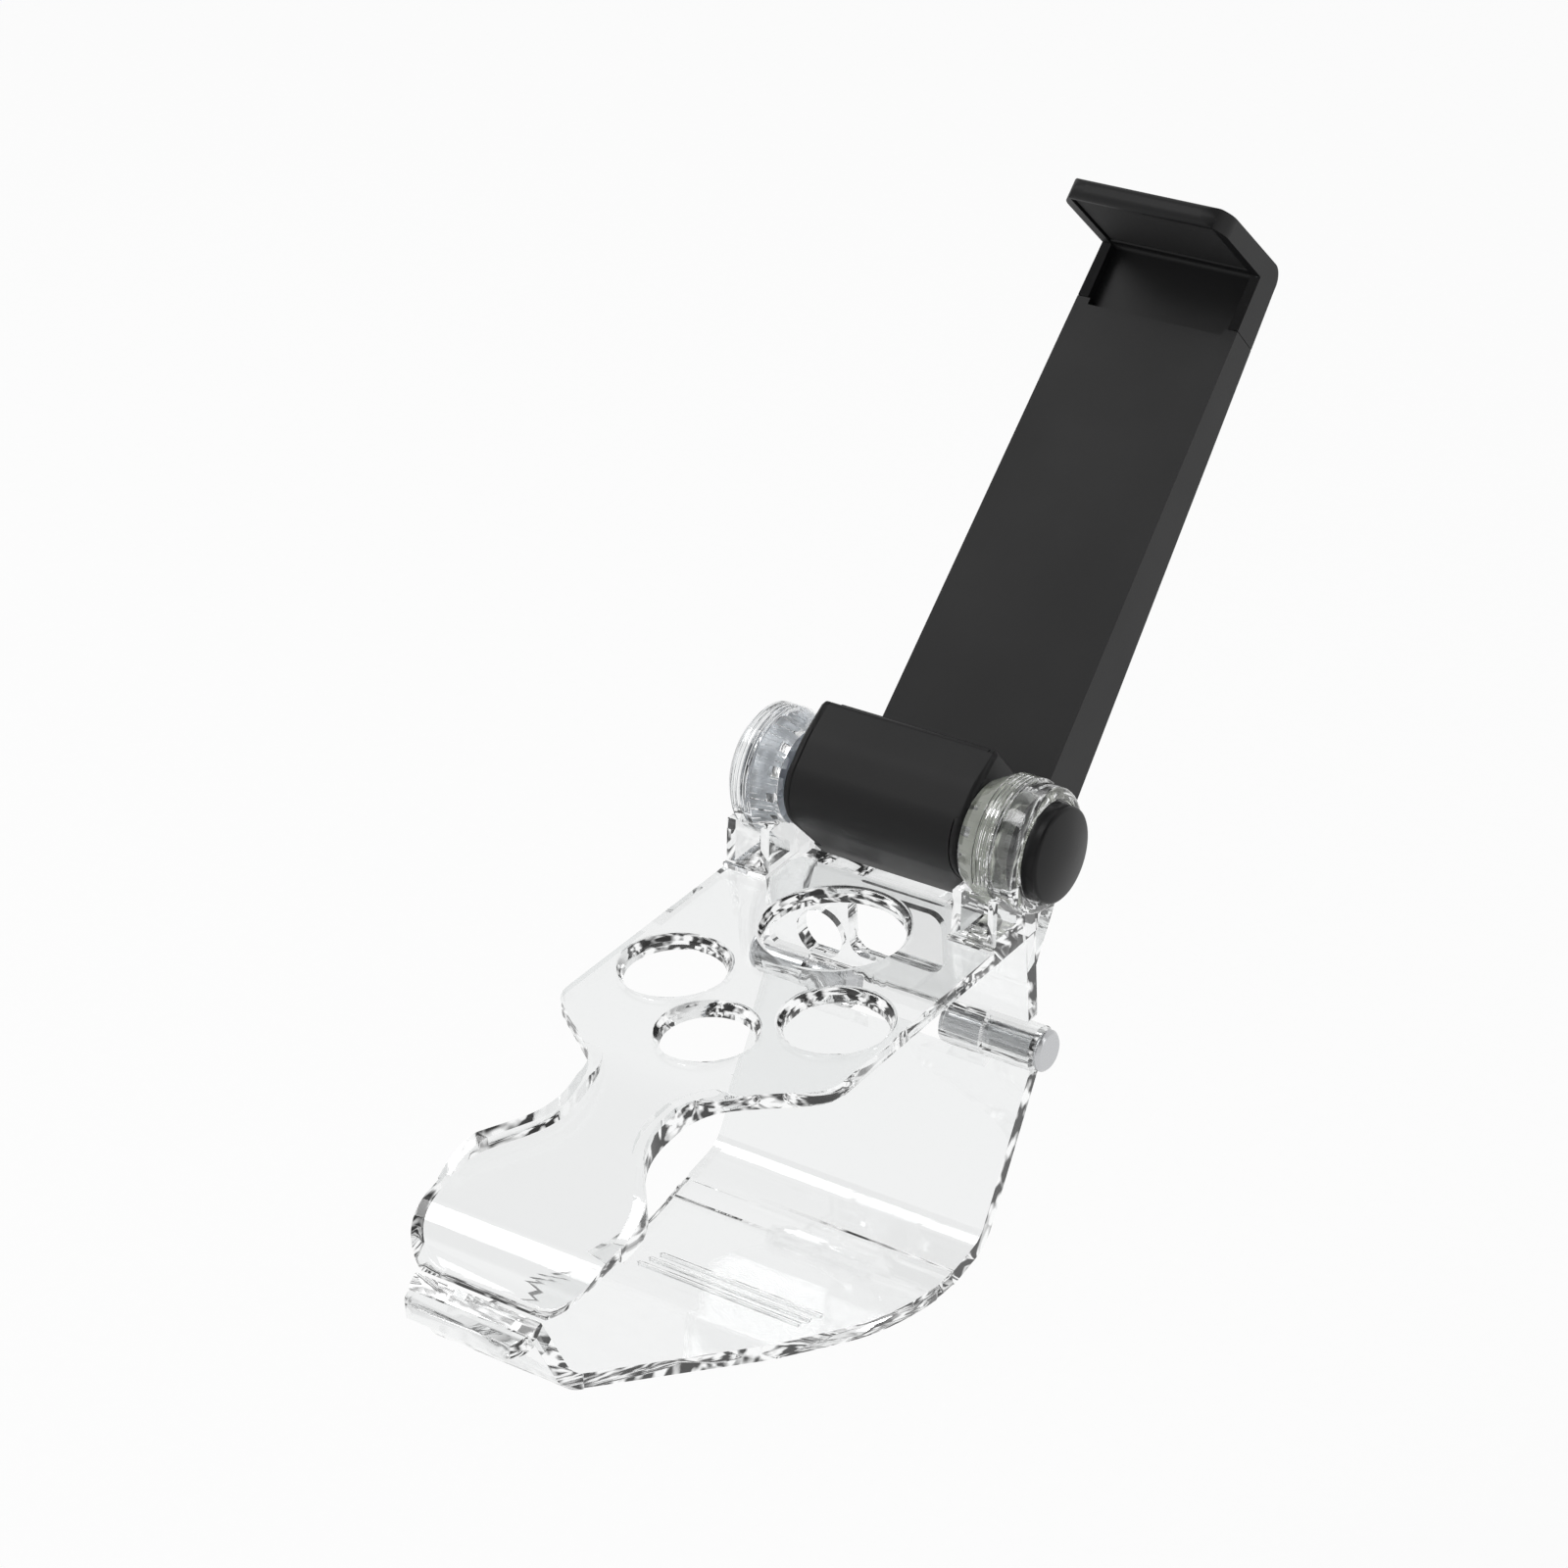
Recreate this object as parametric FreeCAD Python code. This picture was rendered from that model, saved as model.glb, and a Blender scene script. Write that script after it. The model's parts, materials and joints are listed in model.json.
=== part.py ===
import FreeCAD, Part
import math
import os

# Controller phone clip. Millimetres. X runs across the clip, the front latch points to -Y, Z is up.
# The sizes below count Z from the front plate's top face, and save() moves every piece up by the
# plate's thickness. So the origin ends on the plate's underside, where the controller touches it,
# midway between the left and right button holes.

os.makedirs("parts", exist_ok=True)

# Across the clip, from the barrel out to the collar: each step follows the one before
BARREL_HALF = 11.6
CAP_T = 1.2
CAP_OUT_X = BARREL_HALF + CAP_T
SIDE_PLAY = 0.3
DRUM_IN_X = CAP_OUT_X + 2 * SIDE_PLAY
RING_IN_X = DRUM_IN_X + 0.2
DRUM_CAVITY_L = 4.1
DRUM_WEB_IN_X = DRUM_IN_X + DRUM_CAVITY_L
DRUM_WEB_T = 0.7
DRUM_WEB_OUT_X = DRUM_WEB_IN_X + DRUM_WEB_T
DRUM_RECESS_L = 1.6
DRUM_OUT_X = DRUM_WEB_OUT_X + DRUM_RECESS_L
COLLAR_L = 2.4
COLLAR_OUT_X = DRUM_OUT_X + COLLAR_L

# Front plate
PLATE_T = 2.0
PLATE_HALF_W = DRUM_OUT_X
PLATE_REAR_Y = 31.4
SHOULDER_Y = -12.6
WAIST_TOP_HALF_W = 7.4
WAIST_TOP_Y = -21.4
WAIST_HALF_W = 6.2
WAIST_Y = -30.8
FLARE_HALF_W = 13.4
FLARE_Y = -39.4
CHEEK_HALF_W = 12.8
CHEEK_Y = FLARE_Y - 7.6
NOSE_HALF_W = 12.0
NOSE_Y = -53.0
NOSE_ROLL_R = 9.0
NOSE_CORNER_R = 6.5
BEND_Y = -20.0
BEND_R = 45.0
DROOP_Y = -49.0
DROOP_Z = -6.0
NOSE_Z = -10.7
HOLE_SPACING = 23.5
SIDE_HOLE_R = 6.3
GUIDE_HOLE_R = 8.7
GUIDE_HOLE_Y = 16.8
SMALL_HOLE_R = 5.7
SMALL_HOLE_Y = -9.6
HOLE_BEVEL = 1.0
FLANGE_H = 1.6
FLANGE_T = 1.4

# Rear wall of the front plate, with the port openings
WALL_T = 2.0
WALL_BOTTOM_Z = -15.2
APRON_BOTTOM_Z = -17.2
PORT_HALF_W = 7.0
PORT_BOTTOM_Z = -13.0
PORT_TOP_Z = -4.6
PAIR_HOLE_R = 3.4
PAIR_HOLE_X = -11.6
PAIR_HOLE_Z = -11.7

# Tilt axis, towers and drums
AXIS_Y = 30.7
AXIS_Z = 10.0
DRUM_R = 8.3
DRUM_EDGE_RUN = 2.8
DRUM_EDGE_DROP = 1.5
DRUM_CAVITY_R = 6.1
BUTTON_R = 6.1
COLLAR_R = 7.9
COLLAR_START_X = DRUM_OUT_X - 0.9
BUTTON_RECESS_R = BUTTON_R + 0.3
TROUGH_R = 10.7
TOWER_FOOT_Y = 22.0
TOWER_REAR_Y = 38.2
GUSSET_INSET = 1.1
TOWER_CHEEK = 1.3
GUSSET_BOTTOM_Z = -9.6
DRUM_GROOVES = 5
GROOVE_PITCH = 0.56
GROOVE_W = 0.26
GROOVE_DEPTH = 0.22

# Ratchet rings, pressed into the drums, with slots in the end towards the barrel
RING_BORE_R = 4.65
RING_SLOTS = 12
RING_SLOT_W = 1.2
RING_SLOT_DEPTH = 1.4

# Shell hinge
SHELL_HALF_W = PLATE_HALF_W + 0.2
HINGE_Y = 30.3
HINGE_Z = -18.5
KNUCKLE_R = 3.0
PIN_R = 1.5
PIN_FIT = 0.06
PLATE_KNUCKLE_IN = 7.4
PLATE_KNUCKLE_GAP = 0.6
OUTER_KNUCKLE_OUT = SHELL_HALF_W + 0.4
OUTER_KNUCKLE_L = 6.6
OUTER_KNUCKLE_IN = OUTER_KNUCKLE_OUT - OUTER_KNUCKLE_L
PIN_HEAD_R = 2.7
PIN_HEAD_T = 1.1

# Rear shell
SHELL_T = 2.0
SHELL_KINK_Y = 17.6
SHELL_KINK_Z = -40.6
SHELL_LOW_Y = 2.0
SHELL_LOW_Z = -43.4
SHELL_RISE_Y = -20.0
SHELL_RISE_Z = -35.4
SHELL_FRONT_Y = -51.4
SHELL_FRONT_Z = -21.6
SHELL_FRONT_R = 7.0
SHELL_RISE_R = 50.0
SHELL_LOW_R = 40.0
SHELL_KINK_R = 6.0
SHELL_FRONT_HALF_W = 9.6
LATCH_TOP_Y = SHELL_FRONT_Y - 4.3
LATCH_TOP_Z = -11.2
LATCH_LIP = 2.8
LATCH_HALF_W = 8.2
LATCH_WINDOW_HALF_W = 4.5
LATCH_WINDOW_H = 2.6
RIB_H = 0.5
RIB_W = 0.7
RIB_LEN = 24.0
RIB_PITCH = 2.4

# Phone holder
LEAN = 49.0
BARREL_FRONT_Y = -5.9
BARREL_CORNER_R = 5.8
BARREL_BROW_Z = 3.6
CAP_BEVEL = 0.5
LEDGE_FRONT_Y = -4.8
LEDGE_FRONT_Z = 9.0
LEDGE_REAR_Z = 8.2
FOOT_BOTTOM_Z = -6.1
FOOT_REAR_Y = 7.4
HEEL_Y = 13.4
ARM_FACE_Y = 10.0
ARM_BASE_Z = 14.0
ARM_SPLIT_Z = 73.8
ARM_BASE_HALF_W = CAP_OUT_X
ARM_TAPER = 1.0
ARM_SPLIT_HALF_W = ARM_BASE_HALF_W - ARM_TAPER
ARM_BASE_T = 8.4
ARM_SPLIT_T = 5.2
ARM_WALL = 1.5
COVER_T = 1.3
CAVITY_FLOOR_Z = 5.0
BARREL_BORE_R = 3.2
BORE_FLOOR_X = 1.5

# Sliding jaw
JAW_TRAVEL = 25.0
JAW_GAP = 0.1
JAW_TOP_Z = 85.0
HOOD_T = 2.8
HOOD_DROP = 1.5
HOOD_REACH = 15.0
HOOD_CORNER_R = 3.6
HOOD_REAR_R = 2.2
RECESS_RIM = 1.3
RECESS_DEPTH = 1.7
SPLIT_SLOT = 0.9
TONGUE_T = 1.8
TONGUE_PLAY = 0.2
TONGUE_HALF_W = ARM_SPLIT_HALF_W - ARM_WALL - 2 * TONGUE_PLAY
TONGUE_BOTTOM_Z = 38.0
STOP_R = 1.6
STOP_Z = 69.4
PAD_T = 1.0
PAD_PROUD = 0.3
PAD_SINK = 0.3

# Springs, screws and the lock
SPRING_X = 5.0
SPRING_R = 1.35
SPRING_WIRE_R = 0.3
SPRING_TURNS = 7
ANCHOR_Z = 13.0
ANCHOR_R = 0.9
SCREW_X = 6.5
SCREW_Z = 8.6
SCREW_R = 1.0
SCREW_HEAD_R = 2.0
SCREW_HEAD_T = 0.9
BUTTON_TRAVEL = 1.6
BUTTON_IN_X = DRUM_WEB_OUT_X + BUTTON_TRAVEL + SIDE_PLAY
BUTTON_RIM_X = COLLAR_OUT_X + 1.6
BUTTON_DOME = 0.8
BUTTON_SOCKET = 1.8
GEAR_TIP_R = 4.4
GEAR_ROOT_R = 3.6
GEAR_TEETH = 12
GEAR_IN_X = CAP_OUT_X + BUTTON_TRAVEL + 0.4
GEAR_L = 2.1
GEAR_OUT_X = GEAR_IN_X + GEAR_L
PIVOT_HEAD_R = 3.6
PIVOT_HEAD_T = 1.2
PIVOT_THREAD_L = 5.0
PIVOT_SOCKET_R = 1.2
BUSH_FLANGE_R = 4.4
BUSH_FLANGE_T = 1.0
SCREW_L = 5.0
SCREW_SINK = 0.75
SHAFT_R = 2.2
SHAFT_HEAD_R = 3.1
SHAFT_HEAD_L = 4.0
STUB_R = 1.5
BUTTON_SPRING_R = 2.3
BUTTON_SPRING_WIRE_R = 0.25
RUN = 0.06

V = FreeCAD.Vector
ALONG_X = V(1, 0, 0)


def save(shape, name):
    shape.translate(V(0, 0, PLATE_T))
    shape.exportStep("parts/" + name + ".step")


def box(x0, x1, y0, y1, z0, z1):
    return Part.makeBox(x1 - x0, y1 - y0, z1 - z0, V(x0, y0, z0))


def rod(radius, x0, x1, y=0.0, z=0.0):
    return Part.makeCylinder(radius, x1 - x0, V(x0, y, z), ALONG_X)


def mirror_x(shape):
    return shape.mirror(V(0, 0, 0), ALONG_X)


def line_point(a, b, distance):
    length = math.hypot(b[0] - a[0], b[1] - a[1])
    return (a[0] + (b[0] - a[0]) * distance / length, a[1] + (b[1] - a[1]) * distance / length)


def corner_arc(before, corner, after, radius):
    """The two tangent points of a corner of the given radius, and the middle of its arc."""
    a = math.atan2(before[1] - corner[1], before[0] - corner[0])
    b = math.atan2(after[1] - corner[1], after[0] - corner[0])
    half = abs((b - a + math.pi) % (2 * math.pi) - math.pi) / 2
    run = radius / math.tan(half)
    first = line_point(corner, before, run)
    last = line_point(corner, after, run)
    chord = ((first[0] + last[0]) / 2, (first[1] + last[1]) / 2)
    middle = line_point(corner, chord, radius / math.sin(half) - radius)
    return first, middle, last


def rounded_face(corners, radii, place):
    """A closed outline whose corners are rounded, each with its own radius, in the plane of place."""
    edges = []
    count = len(corners)
    start = None
    previous = None
    for i in range(count):
        corner = corners[i]
        if radii[i] > 0:
            arc = corner_arc(corners[i - 1], corner, corners[(i + 1) % count], radii[i])
        else:
            arc = (corner, None, corner)
        if previous is not None:
            edges.append(Part.makeLine(place(previous), place(arc[0])))
        else:
            start = arc[0]
        if arc[1] is not None:
            edges.append(Part.Arc(place(arc[0]), place(arc[1]), place(arc[2])).toShape())
        previous = arc[2]
    edges.append(Part.makeLine(place(previous), place(start)))
    return Part.Face(Part.Wire(edges))


def plan_prism(corners, radii, z0, z1):
    face = rounded_face(corners, radii, lambda p: V(p[0], p[1], z0))
    return face.extrude(V(0, 0, z1 - z0))


def side_prism(corners, radii, x0, x1):
    face = rounded_face(corners, radii, lambda p: V(x0, p[0], p[1]))
    return face.extrude(V(x1 - x0, 0, 0))


def front_prism(corners, radii, y0, y1):
    face = rounded_face(corners, radii, lambda p: V(p[0], y0, p[1]))
    return face.extrude(V(0, y1 - y0, 0))


def offset_path(path, distance):
    """A bent line moved sideways by the distance, to its left as it runs."""
    moved = []
    for i in range(len(path)):
        a = path[max(i - 1, 0)]
        b = path[min(i + 1, len(path) - 1)]
        here = path[i]
        ins = (here[0] - a[0], here[1] - a[1]) if i > 0 else (b[0] - here[0], b[1] - here[1])
        out = (b[0] - here[0], b[1] - here[1]) if i < len(path) - 1 else ins
        na = line_point((0, 0), (-ins[1], ins[0]), 1.0)
        nb = line_point((0, 0), (-out[1], out[0]), 1.0)
        mid = ((na[0] + nb[0]) / 2, (na[1] + nb[1]) / 2)
        scale = distance / (mid[0] ** 2 + mid[1] ** 2)
        moved.append((here[0] + mid[0] * scale, here[1] + mid[1] * scale))
    return moved


def turn_sign(a, b, c):
    return (b[0] - a[0]) * (c[1] - b[1]) - (b[1] - a[1]) * (c[0] - b[0])


def sheet(path, radii, thickness, x0, x1):
    """A bent sheet across the clip: the path is its outer face, the thickness lies to the left."""
    inner = offset_path(path, thickness)
    inner_radii = []
    for i in range(len(path)):
        if radii[i] == 0:
            inner_radii.append(0)
        else:
            left = turn_sign(path[i - 1], path[i], path[i + 1]) > 0
            inner_radii.append(max(radii[i] - thickness, 0.3) if left else radii[i] + thickness)
    corners = path + inner[::-1]
    return side_prism(corners, radii + inner_radii[::-1], x0, x1)


def both_sides(half):
    """The full outline from its right half, which runs from the rear to the front."""
    return half + [(-p[0], p[1]) for p in half[::-1]]


def plate_outline(grow):
    half = [
        (PLATE_HALF_W - grow, PLATE_REAR_Y),
        (PLATE_HALF_W - grow, SHOULDER_Y + grow),
        (WAIST_TOP_HALF_W - grow, WAIST_TOP_Y + grow / 2),
        (WAIST_HALF_W - grow, WAIST_Y),
        (FLARE_HALF_W - grow, FLARE_Y - grow / 2),
        (CHEEK_HALF_W - grow, CHEEK_Y),
        (NOSE_HALF_W - grow, NOSE_Y - 4),
    ]
    radii = [0, 4.2, 9.0, 9.0, 7.0, 9.0, 0]
    return both_sides(half), radii + radii[::-1]


def plate_path(drop):
    """The plate's top face from the rear to the lower edge of the nose, seen from the side."""
    return [
        (PLATE_REAR_Y, -drop),
        (BEND_Y, -drop),
        (DROOP_Y, DROOP_Z - drop),
        (NOSE_Y, NOSE_Z),
    ]


def nose_corners():
    """The cutter that rounds the two lower corners of the nose's front wall, seen from the front."""
    half = CHEEK_HALF_W
    corners = [
        (-half, DROOP_Z + 12),
        (-half, NOSE_Z - 0.5),
        (half, NOSE_Z - 0.5),
        (half, DROOP_Z + 12),
    ]
    kept = front_prism(corners, [0, NOSE_CORNER_R, NOSE_CORNER_R, 0], NOSE_Y - 6, DROOP_Y + 6)
    block = box(-half - 3, half + 3, NOSE_Y - 5, DROOP_Y + 5, NOSE_Z - 5, DROOP_Z + 5)
    return block.cut(kept)


def plate_sheet():
    profile = sheet(plate_path(0), [0, BEND_R, NOSE_ROLL_R, 0], PLATE_T, -PLATE_HALF_W, PLATE_HALF_W)
    corners, radii = plate_outline(0)
    return profile.common(plan_prism(corners, radii, -20, 5)).cut(nose_corners())


def waist_flanges():
    """The low ribs that stiffen both edges of the neck, on its top face."""
    path = offset_path(plate_path(0), -FLANGE_H)
    radii = [0, BEND_R + FLANGE_H, NOSE_ROLL_R + FLANGE_H, 0]
    band = sheet(path, radii, FLANGE_H + 0.6, -FLARE_HALF_W, FLARE_HALF_W)
    outer, radii = plate_outline(0)
    inner, _ = plate_outline(FLANGE_T)
    rim = plan_prism(outer, radii, -20, 5).cut(plan_prism(inner, radii, -20, 5))
    ramp = [
        (DROOP_Y + 5, -20),
        (DROOP_Y + 5, DROOP_Z + 1),
        (DROOP_Y + 12, DROOP_Z + 4.4),
        (BEND_Y - 6, 0.6),
        (BEND_Y + 1, 0),
        (BEND_Y + 1, -20),
    ]
    reach = side_prism(ramp, [0] * 6, -FLARE_HALF_W, FLARE_HALF_W)
    return band.common(rim).common(reach)


def round_hole(x, y, radius):
    """The cutter of a hole with a wide bevel round its top rim."""
    bore = Part.makeCylinder(radius, 3 * PLATE_T, V(x, y, -2 * PLATE_T))
    bevel = Part.makeCone(radius, radius + 2 * HOLE_BEVEL, 2 * HOLE_BEVEL, V(x, y, -HOLE_BEVEL))
    return bore.fuse(bevel)


def rear_wall():
    wall = box(-PLATE_HALF_W + 0.4, PLATE_HALF_W - 0.4, PLATE_REAR_Y - WALL_T, PLATE_REAR_Y,
               WALL_BOTTOM_Z, -PLATE_T / 2)
    wall = wall.makeFillet(1.2, [e for e in wall.Edges if is_wall_corner(e)])
    corners = [
        (-PORT_HALF_W, PORT_BOTTOM_Z),
        (PORT_HALF_W, PORT_BOTTOM_Z),
        (PORT_HALF_W, PORT_TOP_Z),
        (-PORT_HALF_W, PORT_TOP_Z),
    ]
    apron_half = OUTER_KNUCKLE_IN - PLATE_KNUCKLE_GAP
    wall = wall.fuse(box(-apron_half, apron_half, PLATE_REAR_Y - WALL_T, PLATE_REAR_Y,
                         APRON_BOTTOM_Z, -PLATE_T))
    port = front_prism(corners, [2.0] * 4, PLATE_REAR_Y - 2 * WALL_T, PLATE_REAR_Y + WALL_T)
    pair = Part.makeCylinder(PAIR_HOLE_R, 4 * WALL_T, V(PAIR_HOLE_X, PLATE_REAR_Y - 2 * WALL_T, PAIR_HOLE_Z),
                             V(0, 1, 0))
    return wall.cut(port).cut(pair)


def is_wall_corner(edge):
    a = edge.Vertexes[0].Point
    b = edge.Vertexes[-1].Point
    return abs(a.x - b.x) < 0.01 and abs(a.z - b.z) < 0.01 and a.z < WALL_BOTTOM_Z + 0.1


def plate_knuckle():
    """The right inner knuckle, with the web that joins it to the rear wall."""
    out = OUTER_KNUCKLE_IN - PLATE_KNUCKLE_GAP
    barrel = rod(KNUCKLE_R, PLATE_KNUCKLE_IN, out, HINGE_Y, HINGE_Z)
    web = box(PLATE_KNUCKLE_IN, out, PLATE_REAR_Y - WALL_T, PLATE_REAR_Y, HINGE_Z, WALL_BOTTOM_Z + 0.5)
    return barrel.fuse(web)


def tower_side():
    """One tower seen from the side: from the foot on the plate up to the drum."""
    corners = [
        (TOWER_FOOT_Y, -PLATE_T),
        (TOWER_FOOT_Y, 0.6),
        (AXIS_Y - DRUM_R + 0.4, AXIS_Z - 2.4),
        (AXIS_Y, AXIS_Z),
        (PLATE_REAR_Y, AXIS_Z),
        (PLATE_REAR_Y, -PLATE_T),
    ]
    return side_prism(corners, [0] * 6, DRUM_IN_X, DRUM_OUT_X)


def tower_gusset():
    """The thinner web behind a tower, which carries the drum down onto the rear wall."""
    corners = [
        (PLATE_REAR_Y - 0.4, AXIS_Z),
        (AXIS_Y + DRUM_R - 0.5, AXIS_Z - 3.0),
        (TOWER_REAR_Y, 0.2),
        (PLATE_REAR_Y, GUSSET_BOTTOM_Z),
        (PLATE_REAR_Y - 0.4, GUSSET_BOTTOM_Z),
    ]
    return side_prism(corners, [0, 0, 1.0, 0, 0], DRUM_IN_X + GUSSET_INSET, DRUM_OUT_X - GUSSET_INSET)


def tower_foot():
    """The low ledge round the foot of a tower."""
    return box(DRUM_IN_X - 0.6, DRUM_OUT_X, TOWER_FOOT_Y - 0.8, TOWER_FOOT_Y + 2, -PLATE_T / 2, 0.6)


def drum_grooves():
    """Fine grooves round the upper front of a drum."""
    grooves = []
    middle = (DRUM_IN_X + DRUM_EDGE_RUN + COLLAR_START_X) / 2
    for i in range(DRUM_GROOVES):
        x = middle + (i - (DRUM_GROOVES - 1) / 2) * GROOVE_PITCH
        ring = rod(DRUM_R + 1, x - GROOVE_W / 2, x + GROOVE_W / 2, AXIS_Y, AXIS_Z)
        ring = ring.cut(rod(DRUM_R - GROOVE_DEPTH, x - GROOVE_W, x + GROOVE_W, AXIS_Y, AXIS_Z))
        keep = box(x - 1, x + 1, AXIS_Y - DRUM_R - 2, AXIS_Y + 3, AXIS_Z - 2, AXIS_Z + DRUM_R + 2)
        grooves.append(ring.common(keep))
    return Part.makeCompound(grooves)


def drum():
    """A drum whose end towards the barrel is drawn in by a cone."""
    start = V(DRUM_IN_X, AXIS_Y, AXIS_Z)
    cone = Part.makeCone(DRUM_R - DRUM_EDGE_DROP, DRUM_R, DRUM_EDGE_RUN, start, ALONG_X)
    return cone.fuse(rod(DRUM_R, DRUM_IN_X + DRUM_EDGE_RUN, COLLAR_START_X, AXIS_Y, AXIS_Z))


def collar(end):
    """The narrower end of a drum, with its rim broken by a small cone."""
    tube = rod(COLLAR_R, COLLAR_START_X - 0.1, end - 0.6, AXIS_Y, AXIS_Z)
    rim = Part.makeCone(COLLAR_R, COLLAR_R - 0.6, 0.6, V(end - 0.6, AXIS_Y, AXIS_Z), ALONG_X)
    return tube.fuse(rim)


def tower(web_bore, drum_end):
    """The right tower with its drum, open towards the barrel and towards the outside."""
    body = tower_side().fuse([tower_gusset(), tower_foot()])
    legs = box(DRUM_IN_X, DRUM_OUT_X, 0, 60, -2 * DRUM_R, AXIS_Z - DRUM_R * 0.45)
    body = body.common(legs).fuse([drum(), collar(drum_end)])
    window = box(DRUM_IN_X + TOWER_CHEEK, DRUM_OUT_X - TOWER_CHEEK, TOWER_FOOT_Y - 1, AXIS_Y - 3.4,
                 0.9, AXIS_Z - DRUM_R + 4.6)
    body = body.cut(window.cut(rod(DRUM_R, DRUM_IN_X, DRUM_OUT_X, AXIS_Y, AXIS_Z)))
    body = body.cut(rod(DRUM_CAVITY_R, DRUM_IN_X - 1, DRUM_WEB_IN_X, AXIS_Y, AXIS_Z))
    body = body.cut(rod(BUTTON_RECESS_R, DRUM_WEB_OUT_X, drum_end + 1, AXIS_Y, AXIS_Z))
    body = body.cut(rod(web_bore, DRUM_IN_X, DRUM_OUT_X, AXIS_Y, AXIS_Z))
    return body.cut(drum_grooves())


def front_plate():
    plate = plate_sheet()
    plate = plate.fuse([rear_wall(), plate_knuckle(), mirror_x(plate_knuckle()), waist_flanges()])
    plate = plate.fuse([tower(SHAFT_R + RUN, COLLAR_OUT_X), mirror_x(tower(SHAFT_R + RUN, DRUM_OUT_X))])
    half = HOLE_SPACING / 2
    holes = [
        round_hole(-half, 0, SIDE_HOLE_R),
        round_hole(half, 0, SIDE_HOLE_R),
        round_hole(0, GUIDE_HOLE_Y, GUIDE_HOLE_R),
        round_hole(0, SMALL_HOLE_Y, SMALL_HOLE_R),
        rod(PIN_R, -OUTER_KNUCKLE_IN, OUTER_KNUCKLE_IN, HINGE_Y, HINGE_Z),
        rod(TROUGH_R, -DRUM_IN_X, DRUM_IN_X, AXIS_Y, AXIS_Z),
    ]
    plate = plate.cut(holes)
    return plate.removeSplitter()


def shell_path():
    return [
        (LATCH_TOP_Y, LATCH_TOP_Z),
        (SHELL_FRONT_Y, SHELL_FRONT_Z),
        (SHELL_RISE_Y, SHELL_RISE_Z),
        (SHELL_LOW_Y, SHELL_LOW_Z),
        (SHELL_KINK_Y, SHELL_KINK_Z),
        (HINGE_Y + 0.6, HINGE_Z - KNUCKLE_R + 0.6),
    ]


def shell_outline():
    half = [
        (SHELL_HALF_W, HINGE_Y + 6),
        (SHELL_HALF_W, SHELL_KINK_Y - 9),
        (SHELL_FRONT_HALF_W, SHELL_FRONT_Y + 3),
        (LATCH_HALF_W, LATCH_TOP_Y - 3),
    ]
    radii = [0, 16.0, 4.0, 0]
    return both_sides(half), radii + radii[::-1]


def latch_lip():
    """The thumb lip that curls forward from the top of the latch wall."""
    corners = [
        (LATCH_TOP_Y + 1.9, LATCH_TOP_Z + 0.2),
        (LATCH_TOP_Y - LATCH_LIP, LATCH_TOP_Z - 0.4),
        (LATCH_TOP_Y - LATCH_LIP, LATCH_TOP_Z - 2.2),
        (LATCH_TOP_Y + 2.6, LATCH_TOP_Z - 2.4),
    ]
    lip = side_prism(corners, [0.6, 0.9, 0.8, 0.3], -LATCH_HALF_W, LATCH_HALF_W)
    plan = [
        (-LATCH_HALF_W, LATCH_TOP_Y + 4),
        (-LATCH_HALF_W, LATCH_TOP_Y - LATCH_LIP),
        (LATCH_HALF_W, LATCH_TOP_Y - LATCH_LIP),
        (LATCH_HALF_W, LATCH_TOP_Y + 4),
    ]
    return lip.common(plan_prism(plan, [0, 2.6, 2.6, 0], LATCH_TOP_Z - 6, LATCH_TOP_Z + 3))


def shell_knuckle():
    return rod(KNUCKLE_R, OUTER_KNUCKLE_IN, OUTER_KNUCKLE_OUT, HINGE_Y, HINGE_Z)


def shell_relief():
    """The room under the inner knuckles, so that only the outer knuckles carry the shell."""
    gap = OUTER_KNUCKLE_IN
    return box(-gap, gap, HINGE_Y - 9, HINGE_Y + 9, HINGE_Z - KNUCKLE_R - 0.5, HINGE_Z + 8)


def shell_ribs():
    ribs = []
    slope = math.degrees(math.atan2(SHELL_RISE_Z - SHELL_LOW_Z, SHELL_LOW_Y - SHELL_RISE_Y))
    for i in range(3):
        y = (i - 1) * RIB_PITCH
        rib = box(-RIB_LEN / 2, RIB_LEN / 2, y - RIB_W / 2, y + RIB_W / 2, -RIB_H, 0.6)
        rib.rotate(V(0, 0, 0), ALONG_X, -slope)
        rib.translate(V(0, (SHELL_LOW_Y + SHELL_RISE_Y) / 2, (SHELL_LOW_Z + SHELL_RISE_Z) / 2))
        ribs.append(rib)
    return ribs


def rear_shell():
    radii = [0, SHELL_FRONT_R, SHELL_RISE_R, SHELL_LOW_R, SHELL_KINK_R, 0]
    pan = sheet(shell_path(), radii, SHELL_T, -SHELL_HALF_W, SHELL_HALF_W)
    corners, radii = shell_outline()
    pan = pan.common(plan_prism(corners, radii, -60, 10))
    pan = pan.cut(shell_relief())
    pan = pan.fuse([shell_knuckle(), mirror_x(shell_knuckle()), latch_lip()] + shell_ribs())
    window = box(-LATCH_WINDOW_HALF_W, LATCH_WINDOW_HALF_W, LATCH_TOP_Y - 2, LATCH_TOP_Y + 6,
                 LATCH_TOP_Z - 2.9 - LATCH_WINDOW_H, LATCH_TOP_Z - 2.9)
    pan = pan.cut(window)
    pan = pan.cut(rod(PIN_R + PIN_FIT, -SHELL_HALF_W - 2, SHELL_HALF_W + 2, HINGE_Y, HINGE_Z))
    return pan.removeSplitter()


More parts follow.
